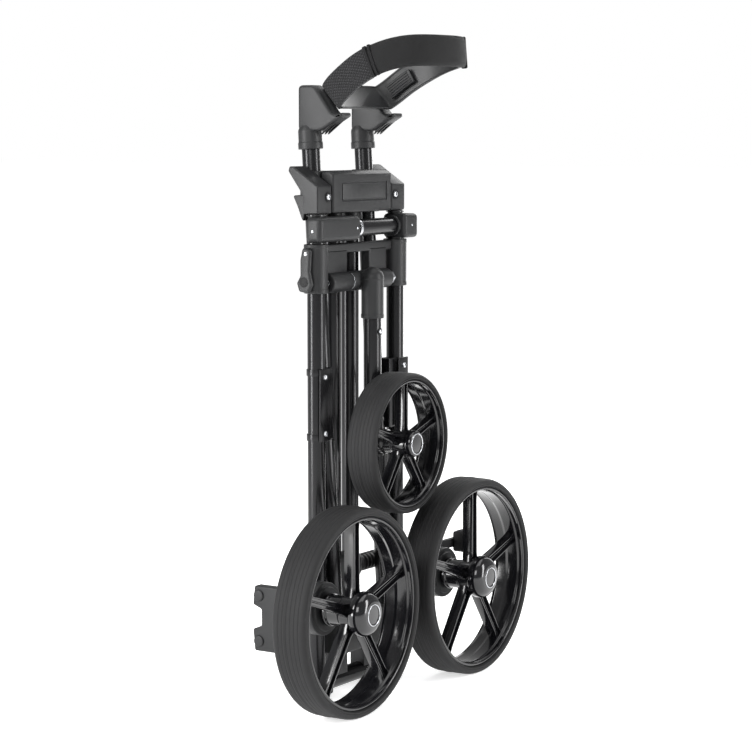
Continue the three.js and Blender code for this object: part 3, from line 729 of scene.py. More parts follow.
def spoke_form(centre, angle, reach, front, depth, half_width, wall):
    """A channel section with two flanges and a low middle rib, carried out from the hub and drawn in by a
    quarter, with a flare at each end."""
    w, floor = half_width, 0.42 * depth
    section = np.array(
        [
            (-w, 0), (-w + wall, 0), (-w + wall, floor), (-0.16 * w, floor), (-0.10 * w, 0.45 * floor),
            (0.10 * w, 0.45 * floor), (0.16 * w, floor), (w - wall, floor), (w - wall, 0), (w, 0),
            (w * 0.93, depth), (-w * 0.93, depth),
        ]
    )
    section = rounded(section, 0.5 * MM, 3)
    steps = 24
    t = np.linspace(0, 1, steps)[:, None, None]
    flare = 1 - 0.25 * t + 0.35 * np.clip(t - 0.86, 0, 1) / 0.14 + 0.3 * np.clip(0.12 - t, 0, 1) / 0.12
    across_spoke, deep = section[None, :, :1] * flare, section[None, :, 1:]
    sections = np.concatenate([across_spoke, np.broadcast_to(deep, across_spoke.shape)], 2)
    out = math.cos(angle) * X + math.sin(angle) * Z
    side = -math.sin(angle) * X + math.cos(angle) * Z
    start = centre + (front - centre[1]) * Y
    path = start + (reach[0] + (reach[1] - reach[0]) * t[:, :, 0]) * out
    return swept(path, np.tile(side, (steps, 1)), np.tile(Y, (steps, 1)), sections)


def web_form(start, angle, reach):
    """A thin rib behind a spoke: a narrow tapered section carried straight out from the hub."""
    out = math.cos(angle) * X + math.sin(angle) * Z
    side = -math.sin(angle) * X + math.cos(angle) * Z
    section = [(-1.3 * MM, 0), (1.3 * MM, 0), (1.0 * MM, 7 * MM), (-1.0 * MM, 7 * MM)]
    path = start + np.array(reach)[:, None] * out
    return swept(path, np.tile(side, (2, 1)), np.tile(Y, (2, 1)), rounded(section, 0.4 * MM, 3))


def rim_form(prefix, sizes):
    """A deep band with rolled lips, a stepped hub barrel and five channel spokes."""
    low, high = box(prefix + "_rim")
    tyre_low, tyre_high = box(prefix + "_tyre")
    cap_low, cap_high = box(prefix + "_hub_cap")
    main = prefix != "front_wheel"
    centre = middle(prefix + "_hub_cap")
    bead = (high[0] - low[0]) / 2
    wall = (5 if main else 4) * MM - 0.3 * MM
    opening = bead - wall
    face, width = tyre_low[1], tyre_high[1] - tyre_low[1]
    hub = (cap_high[0] - cap_low[0]) / 2
    spoke_y, spoke_depth, half = np.array((13, 14, 8) if main else (12, 12, 6)) * MM
    seat = spoke_y + spoke_depth
    lip = 1.6 * MM
    outline = [
        (bead, 3 * MM), (bead, width - 3 * MM), (opening + lip, width - 2.2 * MM),
        (opening, width - 3.4 * MM), (opening + 1.1 * MM, width - 6.5 * MM),
        (opening + 0.5 * MM, seat + 6 * MM), (opening - 1.1 * MM, seat + 1.5 * MM),
        (opening - 1.1 * MM, spoke_y - 0.5 * MM), (opening + 0.7 * MM, spoke_y - 3 * MM),
        (opening + 0.9 * MM, 6 * MM), (opening, 3.2 * MM), (opening + lip, 2.2 * MM),
    ]
    origin = np.array([centre[0], face, centre[2]])
    band = turned(outline, origin, Y, 1.0 * MM, 160)
    depth = high[1] - face
    hub_barrel = turned(
        [
            (AXLE_BORE, 0), (hub - 0.6 * MM, 0), (hub, 1.5 * MM), (hub, seat + 1 * MM),
            (hub - 2.5 * MM, seat + 5 * MM), (hub - 3.2 * MM, depth - 8 * MM),
            (hub - 1.2 * MM, depth - 6 * MM), (hub - 1.2 * MM, depth), (AXLE_BORE, depth),
        ],
        origin, Y, 1.2 * MM, 96,
    )
    angles = math.pi / 2 - np.arange(SPOKES) * 2 * math.pi / SPOKES
    reach = (0.8 * hub, opening + 0.5 * MM)
    spokes = [
        spoke_form(centre, a, reach, face + spoke_y, spoke_depth, half, sizes.spoke_wall) for a in angles
    ]
    webs = [web_form(origin + (seat - 1 * MM) * Y, a, (0.8 * hub, opening)) for a in angles]
    return joined(band, hub_barrel, *spokes, *webs)


def cap_form(prefix, sizes):
    """A domed cap: a short collar, quarter-ellipse sides and a flat face with a shallow dish."""
    low, high = box(prefix + "_hub_cap")
    hub = (high[0] - low[0]) / 2 if prefix == "front_wheel" else sizes.dome
    deep, face = high[1] - low[1], sizes.badge
    t = np.linspace(0, math.pi / 2, 14)
    side = np.stack([face + 1 * MM + (hub - face - 1 * MM) * np.cos(t), -0.96 * deep * np.sin(t)], 1)
    back = [(AXLE_BORE, 12 * MM), (hub - 5 * MM, 12 * MM), (hub - 1.5 * MM, 9 * MM), (hub, 5 * MM)]
    dish = [(face - 1.2 * MM, -deep), (face - 2.2 * MM, -deep + 0.9 * MM), (face - 6 * MM, -deep + 0.7 * MM)]
    outline = np.vstack([back, side, dish, [(0, -deep + 0.4 * MM), (0, 0), (AXLE_BORE, 0)]])
    centre = (low + high) / 2
    origin = (centre[0], high[1], centre[2])
    return turned(outline, origin, Y, 0, 96), (centre[0], low[1] + 0.35 * MM, centre[2]), face


def drum_form(node, teeth):
    """A stepped drum turned about the axle, with square teeth at equal angles round its back rim."""
    low, high = box(node)
    centre = (low + high) / 2
    radius, tall = (high[0] - low[0]) / 2, 4 * MM
    depth = high[1] - low[1] - tall
    drum = turned(
        [
            (AXLE_BORE, 0), (radius - 7 * MM, 0), (radius - 6 * MM, 3 * MM), (radius - 1 * MM, 3 * MM),
            (radius, 5 * MM), (radius, depth), (radius - 4 * MM, depth),
            (radius - 5 * MM, depth - 4 * MM), (12 * MM, depth - 4 * MM), (12 * MM, depth + 3 * MM),
            (AXLE_BORE, depth + 3 * MM),
        ],
        (centre[0], low[1], centre[2]), Y, 0.8 * MM, 96,
    )
    half = 4 * MM
    blocks = []
    for k in range(teeth):
        a = 2 * math.pi * k / teeth
        u, v = math.cos(a) * X - math.sin(a) * Z, math.sin(a) * X + math.cos(a) * Z
        foot, tip = radius - 6 * MM, radius + 0.1 * MM
        outline = [(foot, -half), (tip, -half * 0.9), (tip, half * 0.9), (foot, half)]
        tooth = plate(outline, (u, v, Y), (depth - 2 * MM, depth + tall), 0.8 * MM, 0.5 * MM)
        blocks.append((tooth[0] + np.array([centre[0], low[1], centre[2]]), tooth[1], tooth[2]))
    return joined(drum, *blocks)


class CART_OT_wheels(bpy.types.Operator):
    """Build the tyres, rims, hub caps, brake drums and axles"""

    bl_idname = "cart.wheels"
    bl_label = "Wheels"

    def execute(self, context):
        sizes = context.scene.cart_wheels
        for word, (prefix, body) in WHEELS.items():
            low, high = box(prefix + "_rim")
            bead = (high[0] - low[0]) / 2 + 0.3 * MM
            tyre = prefix + "_tyre"
            add_piece(f"tyre_{word}", tyre_form(tyre, bead, sizes), body, TYRE, (tyre,))
            add_piece(f"rim_{word}", rim_form(prefix, sizes), body, GLOSS, (prefix + "_rim",))
            cap, face, radius = cap_form(prefix, sizes)
            add_piece(f"hub_cap_{word}", cap, body, GLOSS, (prefix + "_hub_cap",))
            add_piece(f"hub_ring_{word}", rounded_ring(radius, sizes.cap_ring, face, Y), body, STEEL)
            axle = "front_axle" if word == "front" else f"axle_{word}"
            a_low, a_high = box(axle)
            c = (a_low + a_high) / 2
            rod = tube((c[0], a_low[1], c[2]), (c[0], a_high[1], c[2]), (a_high[0] - a_low[0]) / 2)
            holder = "front_swivel" if word == "front" else f"{word}_leg"
            add_piece(f"wheel_axle_{word}", rod, holder, STEEL, (axle,))
        for _, word in SIDES:
            node = f"wheel_{word}_brake_drum"
            drum = drum_form(node, sizes.drum_teeth)
            add_piece(f"brake_drum_{word}", drum, f"{word}_wheel", FITTING, (node,))
        return {"FINISHED"}


# ---- tubes ------------------------------------------------------------------------------

TUBE_WALL = 1.6 * MM
TUBE_BORE = 12.9 * MM
BOLT_BORE = 5.3 * MM
LUG_RADIUS = 14 * MM


def tube_in_box(node, axis, wall=TUBE_WALL):
    """A tube that fills a CAD node's box along one of the three axes."""
    low, high = box(node)
    centre = (low + high) / 2
    side = (axis + 1) % 3
    radius = (high[side] - low[side]) / 2
    start, end = centre.copy(), centre.copy()
    start[axis], end[axis] = low[axis], high[axis]
    return tube(start, end, radius, wall)


def mast_line(word):
    """Ends and radius of a leaning mast tube: its box, less the tilted end circles."""
    low, high = box(f"mast_tube_{word}")
    radius = (high[0] - low[0]) / 2
    x = (low[0] + high[0]) / 2
    lean = math.atan2(high[1] - low[1] - 2 * radius, high[2] - low[2])
    across_y, across_z = radius * math.cos(lean), radius * math.sin(lean)
    foot = np.array([x, low[1] + across_y, low[2] + across_z])
    head = np.array([x, high[1] - across_y, high[2] - across_z])
    return foot, head, radius


class CART_OT_tubes(bpy.types.Operator):
    """Build the round tubes of the legs, masts, handle, arm and bars"""

    bl_idname = "cart.tubes"
    bl_label = "Tubes"

    def execute(self, context):
        for _, word in SIDES:
            leg, stem = f"leg_tube_{word}", f"handle_stem_{word}"
            add_piece(f"{word}_leg_tube", tube_in_box(leg, 2), f"{word}_leg", TUBE, (leg,))
            add_piece(f"{word}_handle_stem", tube_in_box(stem, 2), "handle", TUBE, (stem,))
            foot, head, radius = mast_line(word)
            mast = tube(foot, head, radius, TUBE_WALL)
            add_piece(f"{word}_mast_tube", mast, "frame", TUBE, (f"mast_tube_{word}",))
        add_piece("front_arm_tube", tube_in_box("arm_tube", 2), "front_swivel", TUBE, ("arm_tube",))
        add_piece("front_cross_bar", tube_in_box("cross_bar", 0), "frame", TUBE, ("cross_bar",))
        add_piece("grip_bar", tube_in_box("handle_bar", 0, None), "handle", TUBE, ("handle_bar",))
        return {"FINISHED"}


# ---- screws -----------------------------------------------------------------------------


def screw(place, direction, radius, height=None):
    """A domed screw head with a shallow round well, turned about its axis."""
    height = height or 0.55 * radius
    t = np.linspace(0, math.pi / 2, 6)
    dome = np.stack([radius * (0.45 + 0.55 * np.cos(t)), height * np.sin(t)], 1)
    well = [(0.42 * radius, 0.35 * height), (0, 0.3 * height)]
    outline = np.vstack([[(0, 0), (radius, 0)], dome[1:], well])
    return turned(outline, place, direction, 0, 36)


def washer(place, axis, outer, inner, thickness):
    """A flat washer with eased edges."""
    return barrel(place, axis, outer, inner, thickness, 0.3 * MM, 48)


# ---- legs -------------------------------------------------------------------------------


class CART_OT_leg_fittings(bpy.types.Operator):
    """Build the leg sleeves, guides, axle carriers and brake pedals with their bolts"""

    bl_idname = "cart.leg_fittings"
    bl_label = "Leg fittings"

    def execute(self, context):
        sizes = context.scene.cart_fittings
        for side, word in SIDES:
            self.sleeve(word, sizes)
            self.guide(side, word, sizes)
            leg = middle(f"leg_tube_{word}")
            carrier = f"axle_carrier_{word}"
            softened(f"{word}_axle_carrier", carrier, f"{word}_leg", FITTING, sizes.edge)
            low, high = box(carrier)
            clamp = [
                screw((leg[0] + side * 6 * MM, high[1] - 0.1 * MM, z), Y, sizes.screw_head)
                for z in (low[2] + 10 * MM, low[2] + 29 * MM)
            ]
            add_piece(f"{word}_carrier_bolts", joined(*clamp), f"{word}_leg", STEEL)
            self.pedal(side, word, sizes)
        return {"FINISHED"}

    def guide(self, side, word, sizes):
        """A thin plate in front of the leg, a web towards the mast and two clips round the leg."""
        low, high = box(f"leg_guide_{word}")
        leg = middle(f"leg_tube_{word}")
        inner = low[0] if side > 0 else high[0]
        x = sorted((inner, leg[0] - side * 13 * MM))
        half, thin = 13 * MM, 2.1 * MM
        face = rounded_box(
            (leg[0] - half, low[1], low[2]), (leg[0] + half, low[1] + thin, high[2]), 1 * MM
        )
        web = rounded_box((x[0], low[1] + 6 * MM, low[2]), (x[1], high[1] - 6 * MM, high[2]), 2 * MM)
        radius = 14.2 * MM
        clips = [
            washer((leg[0], leg[1], z), Z, radius, radius - 1.3 * MM, 9 * MM)
            for z in (low[2] + 1 * MM, high[2] - 10 * MM)
        ]
        add_piece(f"{word}_leg_guide", joined(face, web, *clips), "frame", TUBE, (f"leg_guide_{word}",))
        heads = [
            screw((leg[0], low[1] + 0.1 * MM, z), -Y, sizes.screw_head, 3.2 * MM)
            for z in (low[2] + 11 * MM, high[2] - 12 * MM)
        ]
        add_piece(f"{word}_guide_bolts", joined(*heads), "frame", STEEL)

    def sleeve(self, word, sizes):
        """A long collar with a raised band at each end, a pin above it, and bright washers on the pin."""
        low, high = box(f"leg_sleeve_{word}")
        leg_low, leg_high = box(f"leg_tube_{word}")
        c = (low + high) / 2
        outer, bore = (high[0] - low[0]) / 2, (leg_high[0] - leg_low[0]) / 2 + 0.3 * MM
        tall = box("bar_clamp_block")[0][2] - low[2] - 3 * MM
        body = turned(
            [
                (bore, 0), (outer, 0), (outer, 5 * MM), (outer - 0.7 * MM, 6 * MM),
                (outer - 0.4 * MM, tall - 6 * MM), (outer, tall - 5 * MM), (outer, tall), (bore, tall),
            ],
            (c[0], c[1], low[2]), Z, 1.0 * MM, 80,
        )
        pin = turned(
            oblong(0, tall - 5 * MM, 11 * MM, high[2] - low[2]),
            (c[0], c[1], low[2]), Z, 0.3 * MM, 48,
        )
        add_piece(f"{word}_leg_sleeve", joined(body, pin), "frame", FITTING, (f"leg_sleeve_{word}",))
        block_top = box("bar_clamp_block")[1][2]
        discs = [
            washer((c[0], c[1], z), Z, 13.5 * MM, 9 * MM, sizes.washer)
            for z in (low[2] + tall + 0.8 * MM, block_top + 1.2 * MM)
        ]
        add_piece(f"{word}_pin_washers", joined(*discs), "frame", GLOSS)

    def pedal(self, side, word, sizes):
        """The softened arm and pad, with raised bars across the pad's face."""
        node = f"brake_pedal_{word}"
        softened(f"{word}_brake_pedal", node, f"{word}_brake", GRIP, sizes.edge)
        low, high = box(node)
        outer = high[0] if side > 0 else low[0]
        near, far = sorted((outer - side * 3 * MM, outer - side * 21 * MM))
        bars = [
            rounded_box((near, y, high[2] - 1 * MM), (far, y + 1.8 * MM, high[2] + 0.8 * MM), 0.7 * MM, 3)
            for y in low[1] + np.arange(4, 25, 4.5) * MM
        ]
        add_piece(f"{word}_pedal_bars", joined(*bars), f"{word}_brake", GRIP)


# ---- elbows -----------------------------------------------------------------------------


class CART_OT_elbows(bpy.types.Operator):
    """Build the two upper elbows that carry the bag ring"""

    bl_idname = "cart.elbows"
    bl_label = "Upper elbows"

    def execute(self, context):
        for _, word in SIDES:
            self.elbow(word)
        return {"FINISHED"}

    def elbow(self, word):
        """A side outline with well rounded rims over a leaning neck and collar, and slats under its slope."""
        low, high = box(f"elbow_{word}")
        foot, head, radius = mast_line(word)
        lean = (head - foot) / np.linalg.norm(head - foot)
        base = middle(f"leg_tube_{word}")[1]
        x = foot[0]
        top, neck = high[2], high[2] - 64 * MM
        outline = [
            (base + 8 * MM, neck), (base + 46 * MM, neck), (base + 46 * MM, top),
            (base + 18 * MM, top), (base - 12.5 * MM, top - 41 * MM),
            (base - 28 * MM, top - 38 * MM), (base - 28 * MM, top - 44 * MM),
        ]
        half = 13 * MM
        block = plate(outline, (Y, Z, X), (x - half, x + half), 7 * MM, 4.5 * MM)
        reach = 16.8 * MM
        start = head + lean * ((low[2] + 1.0 * MM - head[2]) / lean[2])
        collar = turned(
            [
                (radius + 0.2 * MM, 0), (reach + 0.6 * MM, 0), (reach + 0.6 * MM, 9 * MM),
                (reach - 0.2 * MM, 10 * MM), (reach - 0.3 * MM, 26 * MM), (reach - 3 * MM, 33 * MM),
                (radius + 0.2 * MM, 33 * MM),
            ],
            start, lean, 1.2 * MM, 80,
        )
        under = [
            (base + 6 * MM, neck + 1 * MM), (base + 9 * MM, neck - 5 * MM),
            (base - 18 * MM, top - 49 * MM), (base - 25 * MM, top - 43 * MM),
        ]
        slats = [
            plate(under, (Y, Z, X), (middle_x - 1.4 * MM, middle_x + 1.4 * MM), 1.5 * MM, 0.6 * MM)
            for middle_x in x + np.array([-8, 0, 8]) * MM
        ]
        add_piece(f"{word}_elbow", joined(block, collar, *slats), "frame", FITTING, (f"elbow_{word}",))


# ---- joint head -------------------------------------------------------------------------


class CART_OT_joint_head(bpy.types.Operator):
    """Build the joint cover, housing, front bar blocks, pivot pin and their screws"""

    bl_idname = "cart.joint_head"
    bl_label = "Joint head"

    def execute(self, context):
        sizes = context.scene.cart_fittings
        softened("head_cover", "joint_cover", "frame", FITTING, sizes.edge)
        softened("head_housing", "joint_housing", "frame", FITTING, sizes.edge)
        self.badge()
        self.bar_blocks()
        low, high = box("joint_housing")
        ear_x, ear_z = high[0] - 26 * MM, 708 * MM
        ears = []
        for side, _ in SIDES:
            place = (side * ear_x, low[1] + 0.1 * MM, ear_z)
            ears.append(screw(place, -Y, 1.1 * sizes.screw_head, 2.6 * MM))
        add_piece("ear_screws", joined(*ears), "frame", STEEL)
        rims = [
            washer((side * ear_x, low[1] - 0.5 * MM, ear_z), -Y, 7.2 * MM, 5.4 * MM, 0.9 * MM)
            for side, _ in SIDES
        ]
        add_piece("ear_screw_rims", joined(*rims), "frame", GRIP)
        pin = tube_in_box("handle_pivot_pin", 0, None)
        add_piece("pivot_pin", pin, "frame", STEEL, ("handle_pivot_pin",))
        return {"FINISHED"}

    def badge(self):
        """A blank plate in the cover's recess, with a fine raised border."""
        low, high = box("joint_cover")
        x, z = (low[0] + 24 * MM, high[0] - 14 * MM), (low[2] + 18 * MM, high[2] - 18 * MM)
        front = low[1] + 0.5 * MM
        face = rounded_box((x[0], front, z[0]), (x[1], front + 1.2 * MM, z[1]), 0.5 * MM, 3)
        b = 1.2 * MM
        edges = [
            rounded_box((x[0], front - 0.3 * MM, z[0]), (x[1], front + 0.6 * MM, z[0] + b), 0.3 * MM, 3),
            rounded_box((x[0], front - 0.3 * MM, z[1] - b), (x[1], front + 0.6 * MM, z[1]), 0.3 * MM, 3),
            rounded_box((x[0], front - 0.3 * MM, z[0]), (x[0] + b, front + 0.6 * MM, z[1]), 0.3 * MM, 3),
            rounded_box((x[1] - b, front - 0.3 * MM, z[0]), (x[1], front + 0.6 * MM, z[1]), 0.3 * MM, 3),
        ]
        add_piece("cover_badge", joined(face, *edges), "frame", LINER)

    def bar_blocks(self):
        """The clamp block and end block as well rounded shells, with a flange, a collar and small screws."""
        low, high = box("bar_clamp_block")
        shell = rounded_box(low, high, 7.5 * MM, 7)
        add_piece("clamp_shell", shell, "frame", FITTING, ("bar_clamp_block",))
        c = (low + high) / 2
        pins = [
            screw((low[0] + 0.2 * MM, c[1], c[2] - 2 * MM), -X, 2.4 * MM),
            screw((high[0] - 11 * MM, low[1] + 0.2 * MM, c[2]), -Y, 1.8 * MM),
        ]
        add_piece("clamp_screws", joined(*pins), "frame", STEEL)
        bar_low, bar_high = box("cross_bar")
        bar = (bar_low + bar_high) / 2
        radius = (bar_high[2] - bar_low[2]) / 2
        place = (high[0] + 0.2 * MM, bar[1], bar[2])
        collar = washer(place, X, radius + 1.7 * MM, radius + 0.1 * MM, 5.5 * MM)
        add_piece("bar_collar", collar, "frame", STEEL)
        low, high = box("bar_end_block")
        block = rounded_box((low[0] + 7 * MM, low[1], low[2]), high, 6 * MM, 7)
        flange = turned(
            [
                (radius, 0), (15 * MM, 0), (15 * MM, 3 * MM), (14 * MM, 4 * MM), (14 * MM, 9 * MM),
                (radius, 9 * MM),
            ],
            (low[0], bar[1], bar[2]), X, 0.7 * MM, 72,
        )
        add_piece("end_shell", joined(block, flange), "frame", FITTING, ("bar_end_block",))
        dimple = screw(((low[0] + high[0]) / 2 + 4 * MM, low[1] + 0.2 * MM, c[2]), -Y, 1.8 * MM)
        add_piece("end_screw", dimple, "frame", STEEL)


# ---- front arm --------------------------------------------------------------------------


class CART_OT_front_arm(bpy.types.Operator):
    """Build the arm bracket, hinge, elbow, spring button and front axle carrier"""

    bl_idname = "cart.front_arm"
    bl_label = "Front arm"

    def execute(self, context):
        self.bracket()
        self.knuckle()
        low, high = box("front_axle_carrier")
        arm = middle("arm_tube")
        radius = (high[0] - low[0]) / 2
        clasp = turned(
            [
                (0, 0), (radius, 0), (radius, 4 * MM), (radius - 0.8 * MM, 5 * MM),
                (radius - 0.8 * MM, 50 * MM), (radius, 51 * MM), (radius, 56 * MM),
                (TUBE_BORE, 56 * MM), (TUBE_BORE, 34 * MM), (0, 34 * MM),
            ],
            (arm[0], arm[1], low[2]), Z, 1.0 * MM, 72,
        )
        hub = middle("front_axle")
        boss = barrel((hub[0], low[1], hub[2]), Y, 15 * MM, 6.2 * MM, 17 * MM, 1 * MM, 64)
        add_piece("front_carrier", joined(clasp, boss), "front_swivel", FITTING, ("front_axle_carrier",))
        b_low, b_high = box("spring_button")
        c, r = (b_low + b_high) / 2, (b_high[0] - b_low[0]) / 2
        outline = [(0, 0), (r, 0), (r, 8.4 * MM), (0, 9.3 * MM)]
        button = turned(outline, (c[0], b_high[1], c[2]), -Y, 1.1 * MM, 40)
        add_piece("arm_button", button, "front_button", STEEL, ("spring_button",))
        seat = washer((c[0], b_low[1] + 2.7 * MM, c[2]), -Y, 5.2 * MM, 3.5 * MM, 0.7 * MM)
        add_piece("button_seat", seat, "front_swivel", GRIP)
        return {"FINISHED"}

    def bracket(self):
        """A plate between the sleeves with two lugs, each a barrel on a web, and the bolt through them."""
        low, high = box("arm_bracket")
        bolt_low, bolt_high = box("hinge_bolt")
        k_low, k_high = box("arm_knuckle")
        axis = np.array([0, (bolt_low[1] + bolt_high[1]) / 2, (bolt_low[2] + bolt_high[2]) / 2])
        plate_y = (high[1] - 14.5 * MM, high[1] - 0.2 * MM)
        bridge = rounded_box(
            (low[0], plate_y[0], high[2] - 13.5 * MM), (high[0], plate_y[1], high[2]), 2.5 * MM
        )
        forms = [bridge]
        for x0, x1 in ((low[0] + 1 * MM, k_low[0] - 1 * MM), (k_high[0] + 1 * MM, 70 * MM)):
            forms.append(rounded_box((x0, plate_y[0], axis[2]), (x1, plate_y[1], high[2] - 8 * MM), 2 * MM))
            forms.append(barrel((x0, axis[1], axis[2]), X, LUG_RADIUS, BOLT_BORE, x1 - x0, 2.4 * MM))
        add_piece("hinge_bracket", joined(*forms), "frame", FITTING, ("arm_bracket",))
        shaft = tube((bolt_low[0], axis[1], axis[2]), (71 * MM, axis[1], axis[2]), 5 * MM)
        a = np.arange(6) * math.pi / 3
        hexagon = 10 * MM * np.stack([np.cos(a), np.sin(a)], 1)
        nut = plate(hexagon, (Y, Z, X), (72 * MM, bolt_high[0]), 0.8 * MM, 0.9 * MM)
        nut = (nut[0] + np.array([0, axis[1], axis[2]]), nut[1], nut[2])
        chrome = washer((70.3 * MM, axis[1], axis[2]), X, 11 * MM, 5.2 * MM, 1.6 * MM)
        place = (k_low[0] - 0.9 * MM, axis[1], axis[2])
        gap = washer(place, X, LUG_RADIUS - 0.6 * MM, BOLT_BORE, 0.8 * MM)
        add_piece("arm_hinge_bolt", joined(shaft, nut, chrome, gap), "frame", STEEL, ("hinge_bolt",))

    def knuckle(self):
        """A barrel on the bolt and an upright elbow with a domed top, tied by a web."""
        low, high = box("arm_knuckle")
        arm = middle("arm_tube")
        bolt = middle("hinge_bolt")
        radius = 16.5 * MM
        place = (low[0], bolt[1], bolt[2])
        lug = barrel(place, X, LUG_RADIUS, BOLT_BORE, high[0] - low[0], 2.4 * MM)
        tall = high[2] - low[2]
        t = np.linspace(0, math.pi / 2, 10)
        dome = np.stack([radius * np.cos(t), tall - radius + radius * np.sin(t)], 1)
        socket = [
            (TUBE_BORE, 30 * MM), (TUBE_BORE, 0), (radius, 0), (radius, 5 * MM),
            (radius - 0.6 * MM, 6 * MM), (radius - 0.6 * MM, tall - radius - 2 * MM),
        ]
        outline = np.vstack([socket, dome, [(0, 30 * MM)]])
        elbow = turned(outline, (arm[0], arm[1], low[2]), Z, 0.5 * MM, 80)
        seam = rounded_ring(radius - 0.3 * MM, 1.2 * MM, (arm[0], arm[1], low[2] + tall - radius), Z)
        web = rounded_box(
            (-13 * MM, arm[1], bolt[2] - 12 * MM), (13 * MM, bolt[1], bolt[2] + 12 * MM), 3 * MM
        )
        add_piece("arm_elbow", joined(lug, elbow, web, seam), "front_arm", FITTING, ("arm_knuckle",))


# ---- base -------------------------------------------------------------------------------


class CART_OT_base(bpy.types.Operator):
    """Build the base casting, bottom crossbar, feet and bag rests"""

    bl_idname = "cart.base"
    bl_label = "Base"

    def execute(self, context):
        sizes = context.scene.cart_fittings
        softened("cast_base", "base_casting", "frame", FITTING, 1.6 * sizes.edge)
        low, high = box("bottom_crossbar")
        bar_y, bar_z, radius = middle("foot_left")[1], 15 * MM, 13 * MM
        ends = tube((low[0], bar_y, bar_z), (high[0], bar_y, bar_z), radius, None, 3 * MM)
        forms = [ends]
        for _, word in SIDES:
            leg = middle(f"leg_tube_{word}")
            x, y = leg[0], leg[1]
            forms.append(rounded_box((x - 13 * MM, low[1], 4 * MM), (x + 13 * MM, high[1], 31 * MM), 4 * MM))
            forms.append(tube((x, y, 20 * MM), (x, y, high[2]), 10.8 * MM))
        add_piece("base_crossbar", joined(*forms), "frame", TUBE, ("bottom_crossbar",))
        for side, word in SIDES:
            foot_low, foot_high = box(f"foot_{word}")
            pad, proud = rounded_box(foot_low, foot_high, 2 * MM), 0.4 * MM
            ribs = [
                rounded_box(
                    (x, foot_low[1] - proud, 0.2 * MM),
                    (x + 1.6 * MM, foot_high[1] + proud, 6 * MM),
                    0.5 * MM,
                    3,
                )
                for x in foot_low[0] + np.arange(3, 21, 5) * MM
            ]
            add_piece(f"{word}_foot", joined(pad, *ribs), "frame", GRIP, (f"foot_{word}",))
            rest = f"bag_rest_{word}"
            softened(f"{word}_bag_rest", rest, "frame", FITTING, sizes.edge)
            low, high = box(rest)
            outer = low[0] if side < 0 else high[0]
            caps = [
                turned(
                    [(0, 0), (8.5 * MM, 0), (8.5 * MM, 1.6 * MM), (7.2 * MM, 2.6 * MM), (0, 2.8 * MM)],
                    (outer - side * 0.4 * MM, high[1] - 11 * MM, z), side * X, 0.6 * MM, 56,
                )
                for z in (low[2] + 15 * MM, high[2] - 14 * MM)
            ]
            add_piece(f"{word}_rest_caps", joined(*caps), "frame", FITTING)
        return {"FINISHED"}


# ---- handle -----------------------------------------------------------------------------


class CART_OT_handle(bpy.types.Operator):
    """Build the handle's knuckle, boss and grips"""

    bl_idname = "cart.handle"
    bl_label = "Handle"

    def execute(self, context):
        sizes = context.scene.cart_fittings
        low, high = box("handle_knuckle")
        pin = middle("handle_pivot_pin")
        place = (low[0], pin[1], pin[2])
        forms = [barrel(place, X, 13 * MM, BOLT_BORE, high[0] - low[0], 1.5 * MM)]
        for _, word in SIDES:
            stem = middle(f"handle_stem_{word}")
            tall = pin[2] - low[2]
            forms.append(
                turned(
                    [
                        (TUBE_BORE, 0), (15.3 * MM, 0), (15.3 * MM, 5 * MM), (14.7 * MM, 6 * MM),
                        (14.7 * MM, tall - 7 * MM), (0, tall - 7 * MM), (0, tall - 14 * MM),
                        (TUBE_BORE, tall - 14 * MM),
                    ],
                    (stem[0], stem[1], low[2]), Z, 0.8 * MM, 72,
                )
            )
        add_piece("handle_joint", joined(*forms), "handle", FITTING, ("handle_knuckle",))
        low, high = box("handle_boss")
        add_piece("handle_hub", rounded_box(low, high, 11 * MM, 8), "handle", FITTING, ("handle_boss",))
        for side, word in SIDES:
            self.grip(side, word, sizes.grip_rings)
        return {"FINISHED"}

    def grip(self, side, word, rings):
        """A soft sleeve with radius r - a cos(2 pi n x / l) over its middle and a domed end."""
        low, high = box(f"grip_{word}")
        c = (low + high) / 2
        radius, reach = (high[2] - low[2]) / 2, high[0] - low[0]
        h = np.linspace(0, reach - 4 * MM, 181)
        inside = np.clip(np.minimum(h - 8 * MM, reach - 16 * MM - h) / (3 * MM), 0, 1)
        r = radius - 0.45 * MM * inside * (1 - np.cos(2 * math.pi * rings * h / reach))
        t = np.linspace(0, math.pi / 2, 7)[1:]
        end = np.stack([radius - 5 * MM * (1 - np.cos(t)), reach - 4 * MM + 4 * MM * np.sin(t)], 1)
        outline = np.vstack([[(0, 0)], np.stack([r, h], 1), end, [(0, reach)]])
        start = low[0] if side > 0 else high[0]
        form = turned(outline, (start, c[1], c[2]), side * X, 0, 64)
        add_piece(f"{word}_grip", form, "handle", GRIP, (f"grip_{word}",))


# ---- levers -----------------------------------------------------------------------------


class CART_OT_levers(bpy.types.Operator):
    """Build the quick release lever and the joint latch"""

    bl_idname = "cart.levers"
    bl_label = "Levers"

    def execute(self, context):
        sizes = context.scene.cart_fittings
        softened("release_lever", "quick_release_lever", "quick_release", FITTING, sizes.edge)
        softened("head_latch", "joint_latch", "latch", FITTING, sizes.edge)
        low, high = box("quick_release_lever")
        knob = turned(
            [(0, 0), (9 * MM, 0), (9.5 * MM, 4 * MM), (7 * MM, 7 * MM), (0, 8 * MM)],
            (high[0] - 1 * MM, (low[1] + high[1]) / 2, low[2] + 15 * MM), -X, 2.2 * MM, 56,
        )
        add_piece("release_knob", knob, "quick_release", GRIP)
        pin = screw((low[0] + 0.2 * MM, (low[1] + high[1]) / 2 - 3 * MM, high[2] - 8 * MM), -X, 3.2 * MM)
        add_piece("release_pin", pin, "quick_release", STEEL)
        return {"FINISHED"}


# ---- bag ring ---------------------------------------------------------------------------


